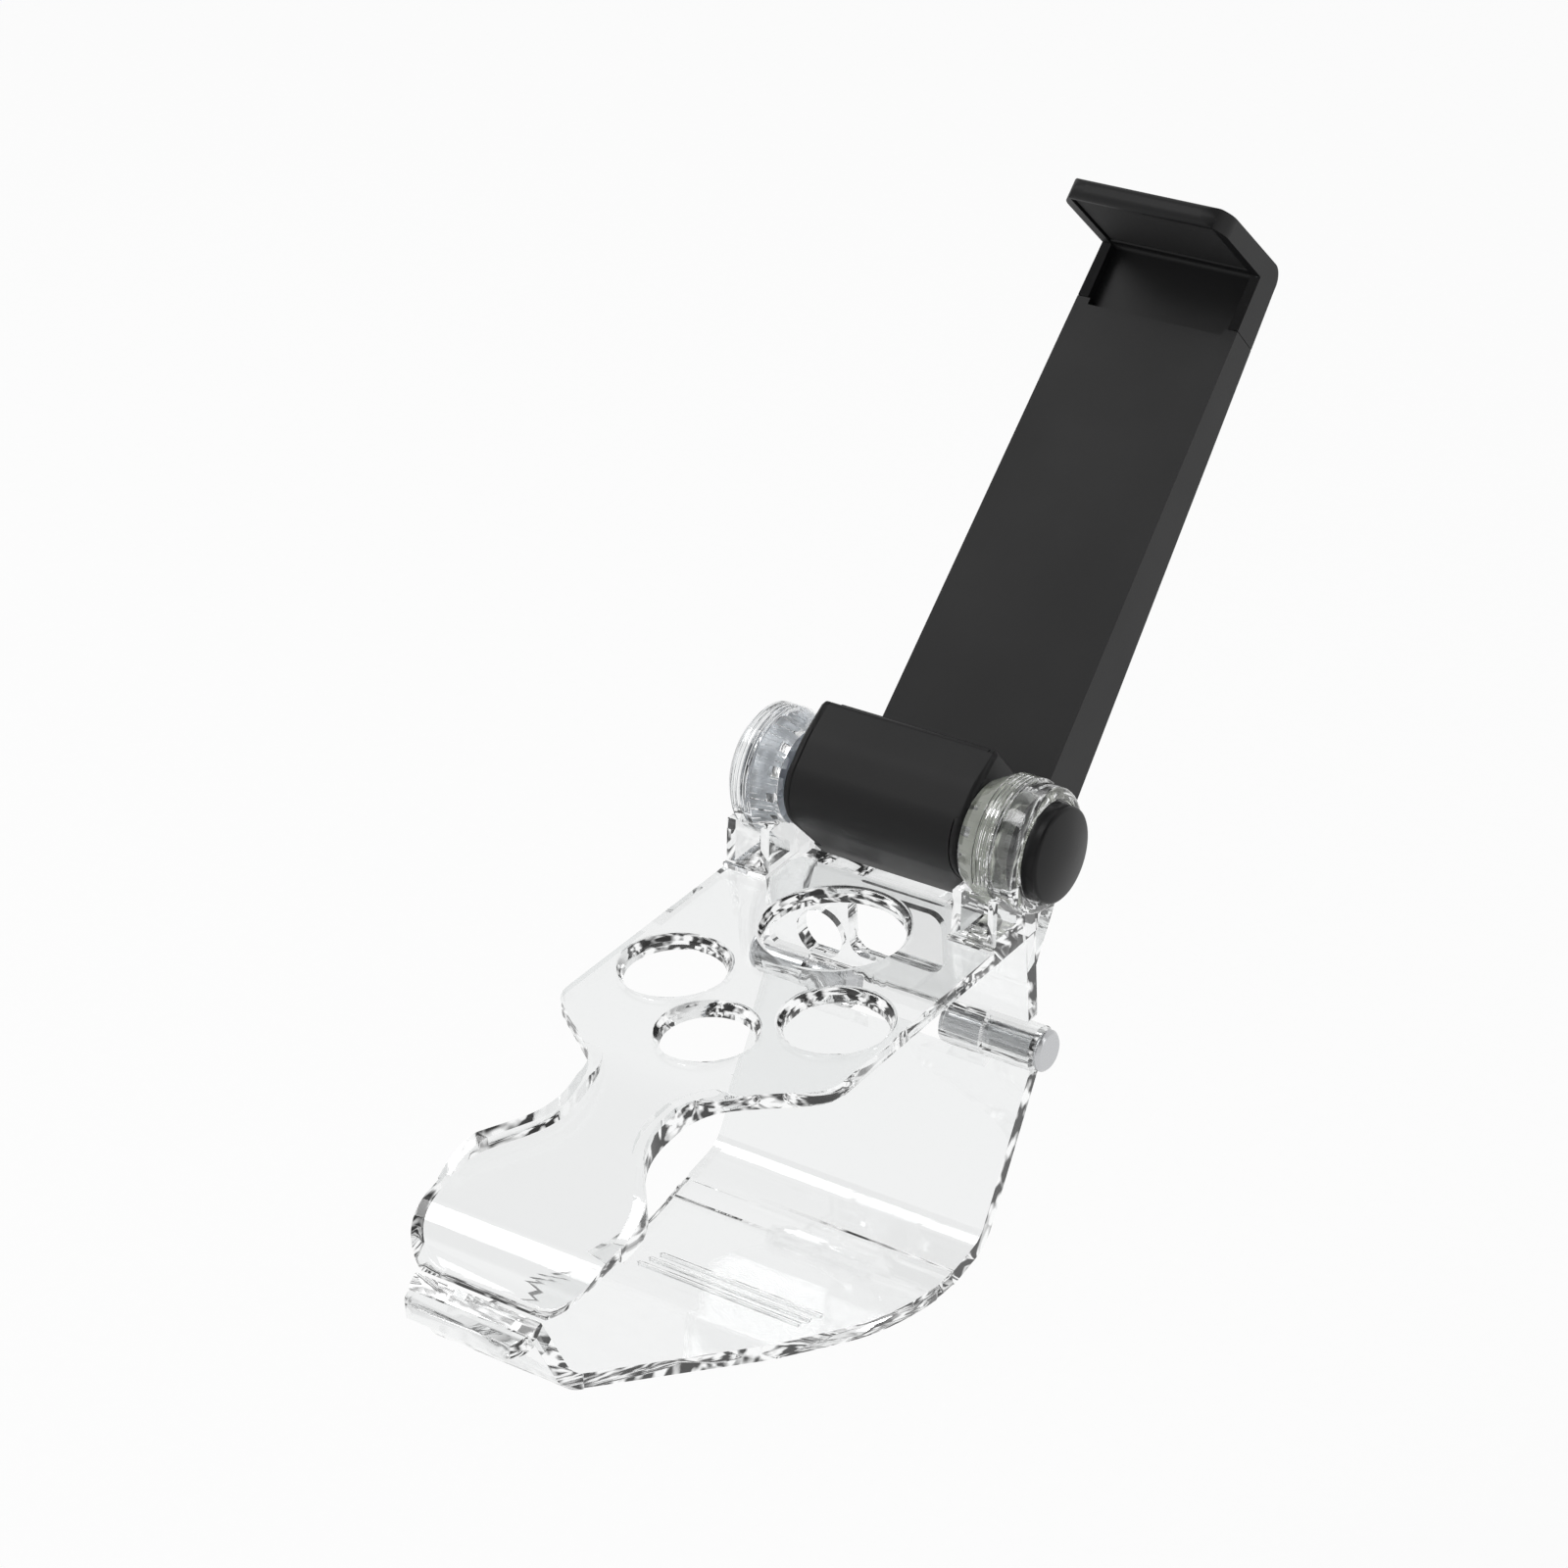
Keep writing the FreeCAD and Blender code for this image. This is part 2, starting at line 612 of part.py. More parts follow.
def stub_pin():
    """The right hinge pin: a stub from the inner knuckle out through the shell's knuckle."""
    pin = rod(PIN_R, PLATE_KNUCKLE_IN, OUTER_KNUCKLE_OUT + 0.4, HINGE_Y, HINGE_Z)
    head = rod(PIN_HEAD_R, OUTER_KNUCKLE_OUT + 0.3, OUTER_KNUCKLE_OUT + 0.3 + PIN_HEAD_T, HINGE_Y, HINGE_Z)
    head = head.makeChamfer(0.4, [head.Edges[0], head.Edges[2]])
    return pin.fuse(head).removeSplitter()


def hinge_pins():
    return Part.makeCompound([stub_pin(), mirror_x(stub_pin())])


def ratchet_ring():
    """The right ring: a bush with radial slots in the end towards the barrel."""
    ring = rod(DRUM_CAVITY_R, RING_IN_X, DRUM_WEB_IN_X)
    ring = ring.cut(rod(RING_BORE_R, 0, 30))
    for i in range(RING_SLOTS):
        slot = box(RING_IN_X - 1, RING_IN_X + RING_SLOT_DEPTH, RING_BORE_R - 1, DRUM_CAVITY_R + 1,
                   -RING_SLOT_W / 2, RING_SLOT_W / 2)
        slot.rotate(V(0, 0, 0), ALONG_X, i * 360.0 / RING_SLOTS)
        ring = ring.cut(slot)
    ring.translate(V(0, AXIS_Y, AXIS_Z))
    return ring.removeSplitter()


def arm_half_width(z):
    return ARM_BASE_HALF_W - ARM_TAPER * (z - ARM_BASE_Z) / (ARM_SPLIT_Z - ARM_BASE_Z)


def arm_thickness(z):
    return ARM_BASE_T + (ARM_SPLIT_T - ARM_BASE_T) * (z - ARM_BASE_Z) / (ARM_SPLIT_Z - ARM_BASE_Z)


def arm_block(z0, z1, front, back, inset, corner=0.0):
    """A stretch of the arm, which narrows and thins upwards, shrunk at its front, back and sides."""
    view = [
        (-arm_half_width(z0) + inset, z0),
        (arm_half_width(z0) - inset, z0),
        (arm_half_width(z1) - inset, z1),
        (-arm_half_width(z1) + inset, z1),
    ]
    side = [
        (ARM_FACE_Y + front, z0),
        (ARM_FACE_Y + arm_thickness(z0) - back, z0),
        (ARM_FACE_Y + arm_thickness(z1) - back, z1),
        (ARM_FACE_Y + front, z1),
    ]
    block = front_prism(view, [0, 0, corner, corner], 0, 40)
    return block.common(side_prism(side, [0] * 4, -30, 30))


def lean(shape):
    shape.rotate(V(0, 0, 0), ALONG_X, -LEAN)
    shape.translate(V(0, AXIS_Y, AXIS_Z))
    return shape


def ledge_z(y):
    """The height of the ledge that the phone stands on, which falls slightly towards the arm."""
    share = (y - LEDGE_FRONT_Y) / (ARM_FACE_Y - LEDGE_FRONT_Y)
    return LEDGE_FRONT_Z + (LEDGE_REAR_Z - LEDGE_FRONT_Z) * share


def barrel_section(x0, x1, rear):
    """The barrel from its flat front, round below, back to the given plane, with the ledge on top."""
    corners = [
        (LEDGE_FRONT_Y, LEDGE_FRONT_Z),
        (BARREL_FRONT_Y, BARREL_BROW_Z),
        (BARREL_FRONT_Y, FOOT_BOTTOM_Z),
        (rear, FOOT_BOTTOM_Z),
        (rear, ledge_z(rear)),
    ]
    return side_prism(corners, [0.8, 12.0, BARREL_CORNER_R, 0, 0], x0, x1)


def pad_seat(x_gap, drop, rise):
    """A thin slab along the ledge, from the drop below it to the rise above it."""
    front = LEDGE_FRONT_Y + 0.9 + x_gap
    rear = ARM_FACE_Y - 0.1 - x_gap
    corners = [
        (front, ledge_z(front) - drop),
        (rear, ledge_z(rear) - drop),
        (rear, ledge_z(rear) + rise),
        (front, ledge_z(front) + rise),
    ]
    half = BARREL_HALF - 0.8 - x_gap
    return side_prism(corners, [0] * 4, -half, half)


def holder_frame():
    foot = barrel_section(-CAP_OUT_X, CAP_OUT_X, ARM_FACE_Y + 1)
    foot = foot.cut(box(-CAP_OUT_X, CAP_OUT_X, -20, FOOT_REAR_Y, -20, 20))
    barrel = barrel_section(-BARREL_HALF, BARREL_HALF, ARM_FACE_Y + 1)
    arm = arm_block(FOOT_BOTTOM_Z, ARM_SPLIT_Z, 0, 0, 0)
    heel = [
        (HEEL_Y, FOOT_BOTTOM_Z),
        (HEEL_Y, FOOT_BOTTOM_Z - 1),
        (HEEL_Y + 12, FOOT_BOTTOM_Z - 1),
        (HEEL_Y + 12, FOOT_BOTTOM_Z + 12),
    ]
    arm = arm.cut(side_prism(heel, [0] * 4, -30, 30))
    body = barrel.fuse([foot, arm])
    body = body.cut(arm_block(CAVITY_FLOOR_Z, ARM_SPLIT_Z + 1, ARM_WALL, -2, ARM_WALL))
    body = body.fuse([stop_boss(), screw_bosses()])
    body = body.cut(rod(BARREL_BORE_R, BORE_FLOOR_X, BARREL_HALF + 1))
    body = body.cut(rod(SCREW_R, -BARREL_HALF - 1, -BARREL_HALF + PIVOT_THREAD_L + 1))
    body = body.cut(screw_holes(SCREW_R, SCREW_L + 0.2))
    body = body.cut(anchor_pin_local())
    body = body.cut(pad_seat(0, PAD_T - PAD_PROUD, 1))
    slot_half = ARM_SPLIT_HALF_W - RECESS_RIM - 0.6
    body = body.cut(box(-slot_half, slot_half, ARM_FACE_Y - 1, ARM_FACE_Y + ARM_WALL + 0.1,
                        ARM_SPLIT_Z - SPLIT_SLOT, ARM_SPLIT_Z + 1))
    return lean(body.removeSplitter())


def stop_boss():
    return Part.makeCylinder(STOP_R, TONGUE_T + TONGUE_PLAY, V(0, ARM_FACE_Y + ARM_WALL, STOP_Z), V(0, 1, 0))


def cover_face_y(z):
    return ARM_FACE_Y + arm_thickness(z) - COVER_T


def screw_bosses():
    depth = cover_face_y(SCREW_Z) - ARM_FACE_Y - ARM_WALL - 0.15
    bosses = []
    for x in (-SCREW_X, SCREW_X):
        bosses.append(Part.makeCylinder(2.1, depth, V(x, ARM_FACE_Y + ARM_WALL, SCREW_Z), V(0, 1, 0)))
    return Part.makeCompound(bosses)


def screw_holes(radius, depth):
    back = cover_face_y(SCREW_Z) + 3
    holes = []
    for x in (-SCREW_X, SCREW_X):
        holes.append(Part.makeCylinder(radius, depth + 3, V(x, back - depth - 3, SCREW_Z), V(0, 1, 0)))
    return Part.makeCompound(holes)


def arm_back_cover():
    cover = arm_block(CAVITY_FLOOR_Z + 0.1, ARM_SPLIT_Z, 0, 0, ARM_WALL + 0.1)
    front = arm_block(CAVITY_FLOOR_Z, ARM_SPLIT_Z + 1, 0, COVER_T, 0)
    cover = cover.cut(front)
    cover = cover.cut(screw_holes(SCREW_R + 0.1, 8))
    sink = []
    for x in (-SCREW_X, SCREW_X):
        top = ARM_FACE_Y + arm_thickness(SCREW_Z)
        sink.append(Part.makeCylinder(SCREW_HEAD_R + 0.15, 4, V(x, top - SCREW_SINK, SCREW_Z), V(0, 1, 0)))
    return lean(cover.cut(sink).removeSplitter())


def cover_screws():
    screws = []
    top = ARM_FACE_Y + arm_thickness(SCREW_Z) - SCREW_SINK
    for x in (-SCREW_X, SCREW_X):
        head = Part.makeCylinder(SCREW_HEAD_R, SCREW_HEAD_T, V(x, top, SCREW_Z), V(0, 1, 0))
        head = head.makeChamfer(0.3, [head.Edges[0]])
        head = head.cut(box(x - 1.3, x + 1.3, top + 0.45, top + 2, SCREW_Z - 0.22, SCREW_Z + 0.22))
        head = head.cut(box(x - 0.22, x + 0.22, top + 0.45, top + 2, SCREW_Z - 1.3, SCREW_Z + 1.3))
        shank = Part.makeCylinder(SCREW_R, SCREW_L, V(x, top - SCREW_L, SCREW_Z), V(0, 1, 0))
        screws.append(head.fuse(shank).removeSplitter())
    return lean(Part.makeCompound(screws))


def anchor_pin_local():
    half = arm_half_width(ANCHOR_Z) - ARM_WALL + 0.7
    return rod(ANCHOR_R, -half, half, spring_y(), ANCHOR_Z)


def spring_y():
    return ARM_FACE_Y + ARM_WALL + TONGUE_PLAY + SPRING_R + SPRING_WIRE_R


def coil(radius, wire, turns, length, sides=8):
    """An open coil along Z: square wire swept round a helix of straight pieces."""
    path = []
    for i in range(turns * sides + 1):
        angle = 2 * math.pi * i / sides
        path.append(V(radius * math.cos(angle), radius * math.sin(angle), length * i / (turns * sides)))
    side = V(wire, 0, 0)
    rise = V(0, 0, wire)
    start = path[0]
    square = [start - side - rise, start + side - rise, start + side + rise, start - side + rise]
    profile = Part.makePolygon(square + square[:1])
    return Part.makePolygon(path).makePipeShell([profile], True, False, 1)


def jaw_springs():
    low = ANCHOR_Z + ANCHOR_R + SPRING_WIRE_R + 0.05
    high = TONGUE_BOTTOM_Z - SPRING_WIRE_R - 0.05
    springs = []
    for x in (-SPRING_X, SPRING_X):
        spring = coil(SPRING_R, SPRING_WIRE_R, SPRING_TURNS, high - low)
        spring.translate(V(x, spring_y(), low))
        springs.append(spring)
    return lean(Part.makeCompound(springs))


def end_cap():
    """The right end cap, with the rim of its outer face broken all round but at the rear."""
    cap = barrel_section(BARREL_HALF, CAP_OUT_X, FOOT_REAR_Y)
    return cap.makeChamfer(CAP_BEVEL, [e for e in cap.Edges if is_outer_rim(e)])


def is_outer_rim(edge):
    ends = edge.BoundBox
    return ends.XMin > CAP_OUT_X - 0.01 and ends.YMin < FOOT_REAR_Y - 0.01


def right_cap():
    return lean(end_cap().cut(rod(SHAFT_R + RUN, 0, CAP_OUT_X + 1)))


def left_cap():
    return lean(mirror_x(end_cap()).cut(rod(SCREW_R, -CAP_OUT_X - 1, 0)))


def left_pivot_screw():
    """The shoulder screw that the left drum turns on."""
    seat = -DRUM_WEB_OUT_X - 0.1
    face = seat - PIVOT_HEAD_T
    shoulder = rod(SHAFT_R, seat, -CAP_OUT_X)
    head = rod(PIVOT_HEAD_R, face, seat)
    head = head.makeChamfer(PIVOT_HEAD_T / 3, [e for e in head.Edges if e.CenterOfMass.x < face + 0.01])
    thread = rod(SCREW_R, -CAP_OUT_X - 0.5, -BARREL_HALF + PIVOT_THREAD_L)
    socket = rod(PIVOT_SOCKET_R, face - 1, face + PIVOT_HEAD_T * 2 / 3)
    return lean(shoulder.fuse([head, thread]).cut(socket).removeSplitter())


def left_washer():
    """The flanged bush between the left drum and the barrel, which gives the tilt its drag."""
    end = -CAP_OUT_X
    start = -DRUM_WEB_IN_X
    washer = rod(BUSH_FLANGE_R, start, start + BUSH_FLANGE_T).fuse(rod(BARREL_BORE_R, start, end))
    return lean(washer.cut(rod(SHAFT_R + 0.15, -30, 0)).removeSplitter())


def toothed_wheel(tip, root, teeth, x0, x1):
    wheel = rod(root, x0, x1)
    width = 2 * math.pi * root / teeth * 0.5
    bars = []
    for i in range(teeth):
        tooth = box(x0, x1, 0, tip + 1, -width / 2, width / 2)
        tooth.rotate(V(0, 0, 0), ALONG_X, i * 360.0 / teeth)
        bars.append(tooth)
    return wheel.fuse(bars).common(rod(tip, x0, x1))


def lock_gear():
    gear = toothed_wheel(GEAR_TIP_R, GEAR_ROOT_R, GEAR_TEETH, GEAR_IN_X, GEAR_OUT_X)
    return lean(gear.cut(rod(SHAFT_R, 0, 30)).removeSplitter())


def lock_shaft():
    head_out = BARREL_HALF - 0.1
    head = rod(SHAFT_HEAD_R, head_out - SHAFT_HEAD_L, head_out)
    head = head.makeChamfer(0.4, [e for e in head.Edges if e.CenterOfMass.x < head_out - SHAFT_HEAD_L + 0.1])
    stem = rod(SHAFT_R, head_out - 0.5, BUTTON_IN_X)
    stub = rod(STUB_R, BUTTON_IN_X - 0.5, BUTTON_IN_X + BUTTON_SOCKET)
    return lean(head.fuse([stem, stub]).removeSplitter())


def push_button():
    """The domed button: a short drum with a shallow spherical face."""
    drum = rod(BUTTON_R, BUTTON_IN_X, BUTTON_RIM_X + BUTTON_DOME)
    ball_r = (BUTTON_R ** 2 + BUTTON_DOME ** 2) / (2 * BUTTON_DOME)
    ball = Part.makeSphere(ball_r, V(BUTTON_RIM_X + BUTTON_DOME - ball_r, 0, 0))
    knob = drum.common(ball)
    rim = [e for e in knob.Edges if abs(e.CenterOfMass.x - BUTTON_RIM_X) < 0.05]
    knob = knob.makeChamfer(0.5, rim)
    return lean(knob.cut(rod(STUB_R, BUTTON_IN_X - 1, BUTTON_IN_X + BUTTON_SOCKET)))


def button_spring():
    start = BORE_FLOOR_X + BUTTON_SPRING_WIRE_R + 0.05
    stop = BARREL_HALF - 0.1 - SHAFT_HEAD_L - BUTTON_SPRING_WIRE_R - 0.05
    spring = coil(BUTTON_SPRING_R, BUTTON_SPRING_WIRE_R, 4, stop - start)
    spring.rotate(V(0, 0, 0), V(0, 1, 0), 90)
    spring.translate(V(start, 0, 0))
    return lean(spring)


def hood():
    top = JAW_TOP_Z
    tip = ARM_FACE_Y - HOOD_REACH
    corners = [
        (ARM_FACE_Y + arm_thickness(top - HOOD_T), top - HOOD_T - 0.2),
        (ARM_FACE_Y + arm_thickness(top - HOOD_T), top),
        (tip, top - HOOD_DROP),
        (tip, top - HOOD_DROP - HOOD_T),
        (ARM_FACE_Y, top - HOOD_T - 0.5),
    ]
    half = arm_half_width(top - HOOD_T)
    bar = side_prism(corners, [0, HOOD_REAR_R, 1.2, 1.0, 0], -half, half)
    plan = [
        (-half, 40),
        (-half, tip),
        (half, tip),
        (half, 40),
    ]
    radii = [0, HOOD_CORNER_R, HOOD_CORNER_R, 0]
    return bar.common(plan_prism(plan, radii, top - 12, top + 4))


def hood_slope():
    return math.degrees(math.atan2(HOOD_DROP - 0.5, HOOD_REACH))


def hood_pad_box(shrink):
    """The room of the pad under the hood, shrunk at its four sides."""
    half = arm_half_width(JAW_TOP_Z) - RECESS_RIM - shrink
    tip = ARM_FACE_Y - HOOD_REACH + RECESS_RIM + shrink
    low = JAW_TOP_Z - HOOD_DROP - HOOD_T
    pad = box(-half, half, tip, ARM_FACE_Y - 0.8 - shrink, low - 2, low + PAD_T)
    pad.rotate(V(0, ARM_FACE_Y - HOOD_REACH, low), ALONG_X, hood_slope())
    return pad


def upper_jaw():
    """The sliding jaw: a block like the top of the arm, a hood over the phone and a long tongue."""
    block = arm_block(ARM_SPLIT_Z + JAW_GAP, JAW_TOP_Z - HOOD_T, 0, 0, 0)
    jaw = block.fuse(hood())
    recess_half = arm_half_width(JAW_TOP_Z) - RECESS_RIM
    jaw = jaw.cut(box(-recess_half, recess_half, ARM_FACE_Y - 1, ARM_FACE_Y + RECESS_DEPTH,
                      ARM_SPLIT_Z, JAW_TOP_Z - HOOD_T - 0.4))
    y0 = ARM_FACE_Y + ARM_WALL + TONGUE_PLAY
    tongue = box(-TONGUE_HALF_W, TONGUE_HALF_W, y0, y0 + TONGUE_T, TONGUE_BOTTOM_Z, ARM_SPLIT_Z + 1)
    jaw = jaw.fuse(tongue)
    slot_low = STOP_Z - STOP_R - 0.3 - JAW_TRAVEL
    slot_half = STOP_R + 0.3
    jaw = jaw.cut(box(-slot_half, slot_half, y0 - 1, y0 + TONGUE_T + 0.5, slot_low, STOP_Z + slot_half))
    jaw = jaw.cut(hood_pad_box(0).common(box(-30, 30, -30, 60, JAW_TOP_Z - 6.5, JAW_TOP_Z)))
    return lean(jaw.removeSplitter())


def upper_jaw_pad():
    low = JAW_TOP_Z - HOOD_DROP - HOOD_T
    pad = hood_pad_box(0.1)
    keep = box(-30, 30, -30, 60, low + PAD_SINK, low + 6)
    keep.rotate(V(0, ARM_FACE_Y - HOOD_REACH, low), ALONG_X, hood_slope())
    return lean(pad.common(keep))


def lower_jaw_pad():
    return lean(pad_seat(0.1, PAD_T - PAD_PROUD, PAD_PROUD))


save(front_plate(), "front_plate")
save(rear_shell(), "rear_shell")
save(hinge_pins(), "shell_hinge_pin")
save(ratchet_ring(), "right_ratchet_ring")
save(mirror_x(ratchet_ring()), "left_ratchet_ring")
save(holder_frame(), "holder_frame")
save(arm_back_cover(), "arm_back_cover")
save(cover_screws(), "cover_screws")
save(lean(anchor_pin_local()), "spring_anchor_pin")
save(jaw_springs(), "jaw_springs")
save(right_cap(), "right_barrel_cap")
save(left_cap(), "left_barrel_cap")
save(left_pivot_screw(), "left_pivot_screw")
save(left_washer(), "left_drag_washer")
save(lock_gear(), "lock_gear")
save(lock_shaft(), "lock_shaft")
save(push_button(), "push_button")
save(button_spring(), "button_spring")
save(upper_jaw(), "upper_jaw")
save(upper_jaw_pad(), "upper_jaw_pad")
save(lower_jaw_pad(), "lower_jaw_pad")
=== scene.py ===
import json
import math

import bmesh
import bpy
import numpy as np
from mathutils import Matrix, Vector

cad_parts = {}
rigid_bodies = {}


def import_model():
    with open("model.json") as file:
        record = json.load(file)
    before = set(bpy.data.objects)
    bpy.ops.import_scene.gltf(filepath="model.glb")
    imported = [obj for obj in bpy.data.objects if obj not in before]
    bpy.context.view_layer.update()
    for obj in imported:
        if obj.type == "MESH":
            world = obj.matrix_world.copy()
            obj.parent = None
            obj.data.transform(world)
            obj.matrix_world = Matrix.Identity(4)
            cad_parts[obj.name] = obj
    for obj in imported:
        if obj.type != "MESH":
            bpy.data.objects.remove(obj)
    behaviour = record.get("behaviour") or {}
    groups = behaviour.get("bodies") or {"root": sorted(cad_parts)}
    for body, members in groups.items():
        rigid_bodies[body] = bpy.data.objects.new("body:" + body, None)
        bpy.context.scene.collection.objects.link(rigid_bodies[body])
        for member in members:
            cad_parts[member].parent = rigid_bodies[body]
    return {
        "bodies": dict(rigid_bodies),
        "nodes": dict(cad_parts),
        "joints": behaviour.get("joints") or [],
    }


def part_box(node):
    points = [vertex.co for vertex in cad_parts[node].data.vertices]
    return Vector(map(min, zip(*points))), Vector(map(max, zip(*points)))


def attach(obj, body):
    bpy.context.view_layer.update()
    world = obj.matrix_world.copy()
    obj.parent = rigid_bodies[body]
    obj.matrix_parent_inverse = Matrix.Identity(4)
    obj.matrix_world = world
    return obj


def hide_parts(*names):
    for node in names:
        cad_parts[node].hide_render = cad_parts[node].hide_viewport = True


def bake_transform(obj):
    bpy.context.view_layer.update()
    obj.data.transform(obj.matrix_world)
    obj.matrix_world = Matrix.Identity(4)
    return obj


bl_info = {
    "name": "Controller phone clip",
    "version": (1, 0, 0),
    "blender": (4, 5, 0),
    "location": "View3D > Sidebar > Phone clip",
    "description": "Dresses the clear controller clip and its black phone holder, and lights them",
    "category": "Object",
}

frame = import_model()

MM = 0.001
CAMERA_PLACE = Vector((262.5, -344.8, 280.9)) * MM
CAMERA_AZIMUTH = math.radians(36.64)
CAMERA_ELEVATION = math.radians(30.07)
CAMERA_ROLL = math.radians(-3.15)
CAMERA_LENS = 100.0
CAMERA_SENSOR = 36.0
FLOOR_Z = -112 * MM
FLOOR_REACH = 6.0

# Shares of a rounding's width and of its room, and how far an edge leaves another as the sine of the angle
INNER_SHARE = 0.3
ROOM_SHARE = 0.4
SLANT_FROM_ROUNDED = 0.55
SLANT_FROM_PLAIN = 0.2
# A folded face's overlap in square metres, and the cosine of a turn past which a face lies inside out
FOLDED_AREA = 1e-9
TURNED_OVER = -0.3

# Springs, in millimetres and turns
JAW_SPRING_OUT_R = 1.5
JAW_SPRING_TURNS = 11
BUTTON_SPRING_WIRE = 0.4
BUTTON_SPRING_TURNS = 6

JOINTS = {joint["name"]: joint for joint in frame["joints"]}
TILT_AXIS = np.array(JOINTS["holder_tilt"]["pos_m"])
UP_THE_ARM = np.array(JOINTS["jaw_slide"]["axis"])
LEAN = math.atan2(UP_THE_ARM[1], UP_THE_ARM[2])


def hex_linear(code):
    """Turns an sRGB hex colour into linear RGB: up to 0.04045 divided by 12.92, above it by the 2.4 power."""
    srgb = np.array([int(code[i:i + 2], 16) for i in (1, 3, 5)]) / 255
    linear = np.where(srgb <= 0.04045, srgb / 12.92, ((srgb + 0.055) / 1.055) ** 2.4)
    return tuple(float(c) for c in linear)


class ClipSizes(bpy.types.PropertyGroup):
    moulded_edge: bpy.props.FloatProperty(
        name="Clear edge", description="Rounding of the clear mouldings' edges, in millimetres",
        default=0.28, min=0.05, max=0.5)
    black_edge: bpy.props.FloatProperty(
        name="Black edge", description="Rounding of the black mouldings' edges, in millimetres",
        default=0.25, min=0.05, max=0.5)
    jaw_edge: bpy.props.FloatProperty(
        name="Jaw edge", description="Rounding of the sliding jaw's edges, in millimetres",
        default=0.6, min=0.1, max=0.8)
    small_edge: bpy.props.FloatProperty(
        name="Small edge", description="Rounding of the small parts' edges, in millimetres",
        default=0.08, min=0.02, max=0.2)
    spring_wire: bpy.props.FloatProperty(
        name="Spring wire", description="Thickness of the jaw springs' wire, in millimetres",
        default=0.5, min=0.2, max=0.8)
    button_dome: bpy.props.FloatProperty(
        name="Button dome", description="Height of the push button's domed face, in millimetres",
        default=0.8, min=0.2, max=1.2)
    pad_edge: bpy.props.FloatProperty(
        name="Pad edge", description="Rounding of the rubber pads' edges, in millimetres",
        default=0.2, min=0.05, max=0.4)


class ClipColours(bpy.types.PropertyGroup):
    clear: bpy.props.FloatVectorProperty(
        name="Clear plastic", description="Tint of the clear plate and shell", subtype="COLOR",
        default=hex_linear("#f4f5f5"), min=0, max=1)
    black: bpy.props.FloatVectorProperty(
        name="Black plastic", description="Colour of the phone holder", subtype="COLOR",
        default=hex_linear("#111112"), min=0, max=1)
    button: bpy.props.FloatVectorProperty(
        name="Button", description="Colour of the push button", subtype="COLOR",
        default=hex_linear("#0e0e0f"), min=0, max=1)
    ring: bpy.props.FloatVectorProperty(
        name="Ratchet rings", description="Colour of the slotted rings, gear and bush", subtype="COLOR",
        default=hex_linear("#f7f9fa"), min=0, max=1)
    rubber: bpy.props.FloatVectorProperty(
        name="Rubber", description="Colour of the jaw pads", subtype="COLOR",
        default=hex_linear("#101011"), min=0, max=1)
    steel: bpy.props.FloatVectorProperty(
        name="Steel", description="Colour of the pins, screws and springs", subtype="COLOR",
        default=hex_linear("#c4c5c7"), min=0, max=1)
    floor: bpy.props.FloatVectorProperty(
        name="Floor", description="Colour of the floor and backdrop", subtype="COLOR",
        default=hex_linear("#ffffff"), min=0, max=1)


def sizes():
    return bpy.context.scene.clip_sizes


def colours():
    return bpy.context.scene.clip_colours


# Places in the leaning holder

def corner_array(node):
    """The corners of a frame node's mesh as an array with one row each."""
    mesh = frame["nodes"][node].data
    points = np.empty(len(mesh.vertices) * 3, np.float32)
    mesh.vertices.foreach_get("co", points)
    return points.reshape(-1, 3).astype(float)


def lean_matrix():
    """Rows that turn upright holder coordinates into the row frame: a turn by the lean angle about X."""
    c = math.cos(LEAN)
    s = math.sin(LEAN)
    return np.array([[1, 0, 0], [0, c, s], [0, -s, c]])


def leaned(points):
    """Upright holder coordinates about the tilt axis, turned by the lean and moved to the axis."""
    return np.asarray(points) @ lean_matrix().T + TILT_AXIS


def upright(points):
    """The reverse of leaned: moved back from the axis and turned upright."""
    return (np.asarray(points) - TILT_AXIS) @ lean_matrix()


def upright_box(node):
    """Lowest and highest corner of a holder node in upright holder coordinates."""
    points = upright(corner_array(node))
    return points.min(0), points.max(0)


# Meshes

def mesh_object(name, points, faces):
    mesh = bpy.data.meshes.new(name)
    mesh.from_pydata([tuple(p) for p in np.asarray(points, float)], [], [list(f) for f in faces])
    mesh.update()
    piece = bpy.data.objects.new(name, mesh)
    bpy.context.scene.collection.objects.link(piece)
    return piece


def band_faces(rows, columns):
    """Four-cornered faces of a tube grid: each row joins the next, and the last column joins the first."""
    row = np.arange(rows - 1)[:, None] * columns
    here = np.arange(columns)[None, :]
    after = (here + 1) % columns
    faces = np.stack([row + here, row + after, row + columns + after, row + columns + here], axis=-1)
    return faces.reshape(-1, 4).tolist()


def capped_tube(rings):
    """Closes a stack of rings, an array of rows by columns by three, with a flat face at each end."""
    rows, columns = rings.shape[:2]
    faces = band_faces(rows, columns)
    faces.append(list(range(columns))[::-1])
    faces.append(list(range((rows - 1) * columns, rows * columns)))
    return rings.reshape(-1, 3), faces


def point_out(piece):
    """Makes the faces of a closed mesh point outwards."""
    mesh = bmesh.new()
    mesh.from_mesh(piece.data)
    bmesh.ops.recalc_face_normals(mesh, faces=mesh.faces)
    mesh.to_mesh(piece.data)
    mesh.free()


def smooth(piece, sharp_from):
    """Shades the piece smoothly, apart from edges that turn by more than the given degrees."""
    piece.data.polygons.foreach_set("use_smooth", np.ones(len(piece.data.polygons), bool))
    piece.data.set_sharp_from_angle(angle=math.radians(sharp_from))


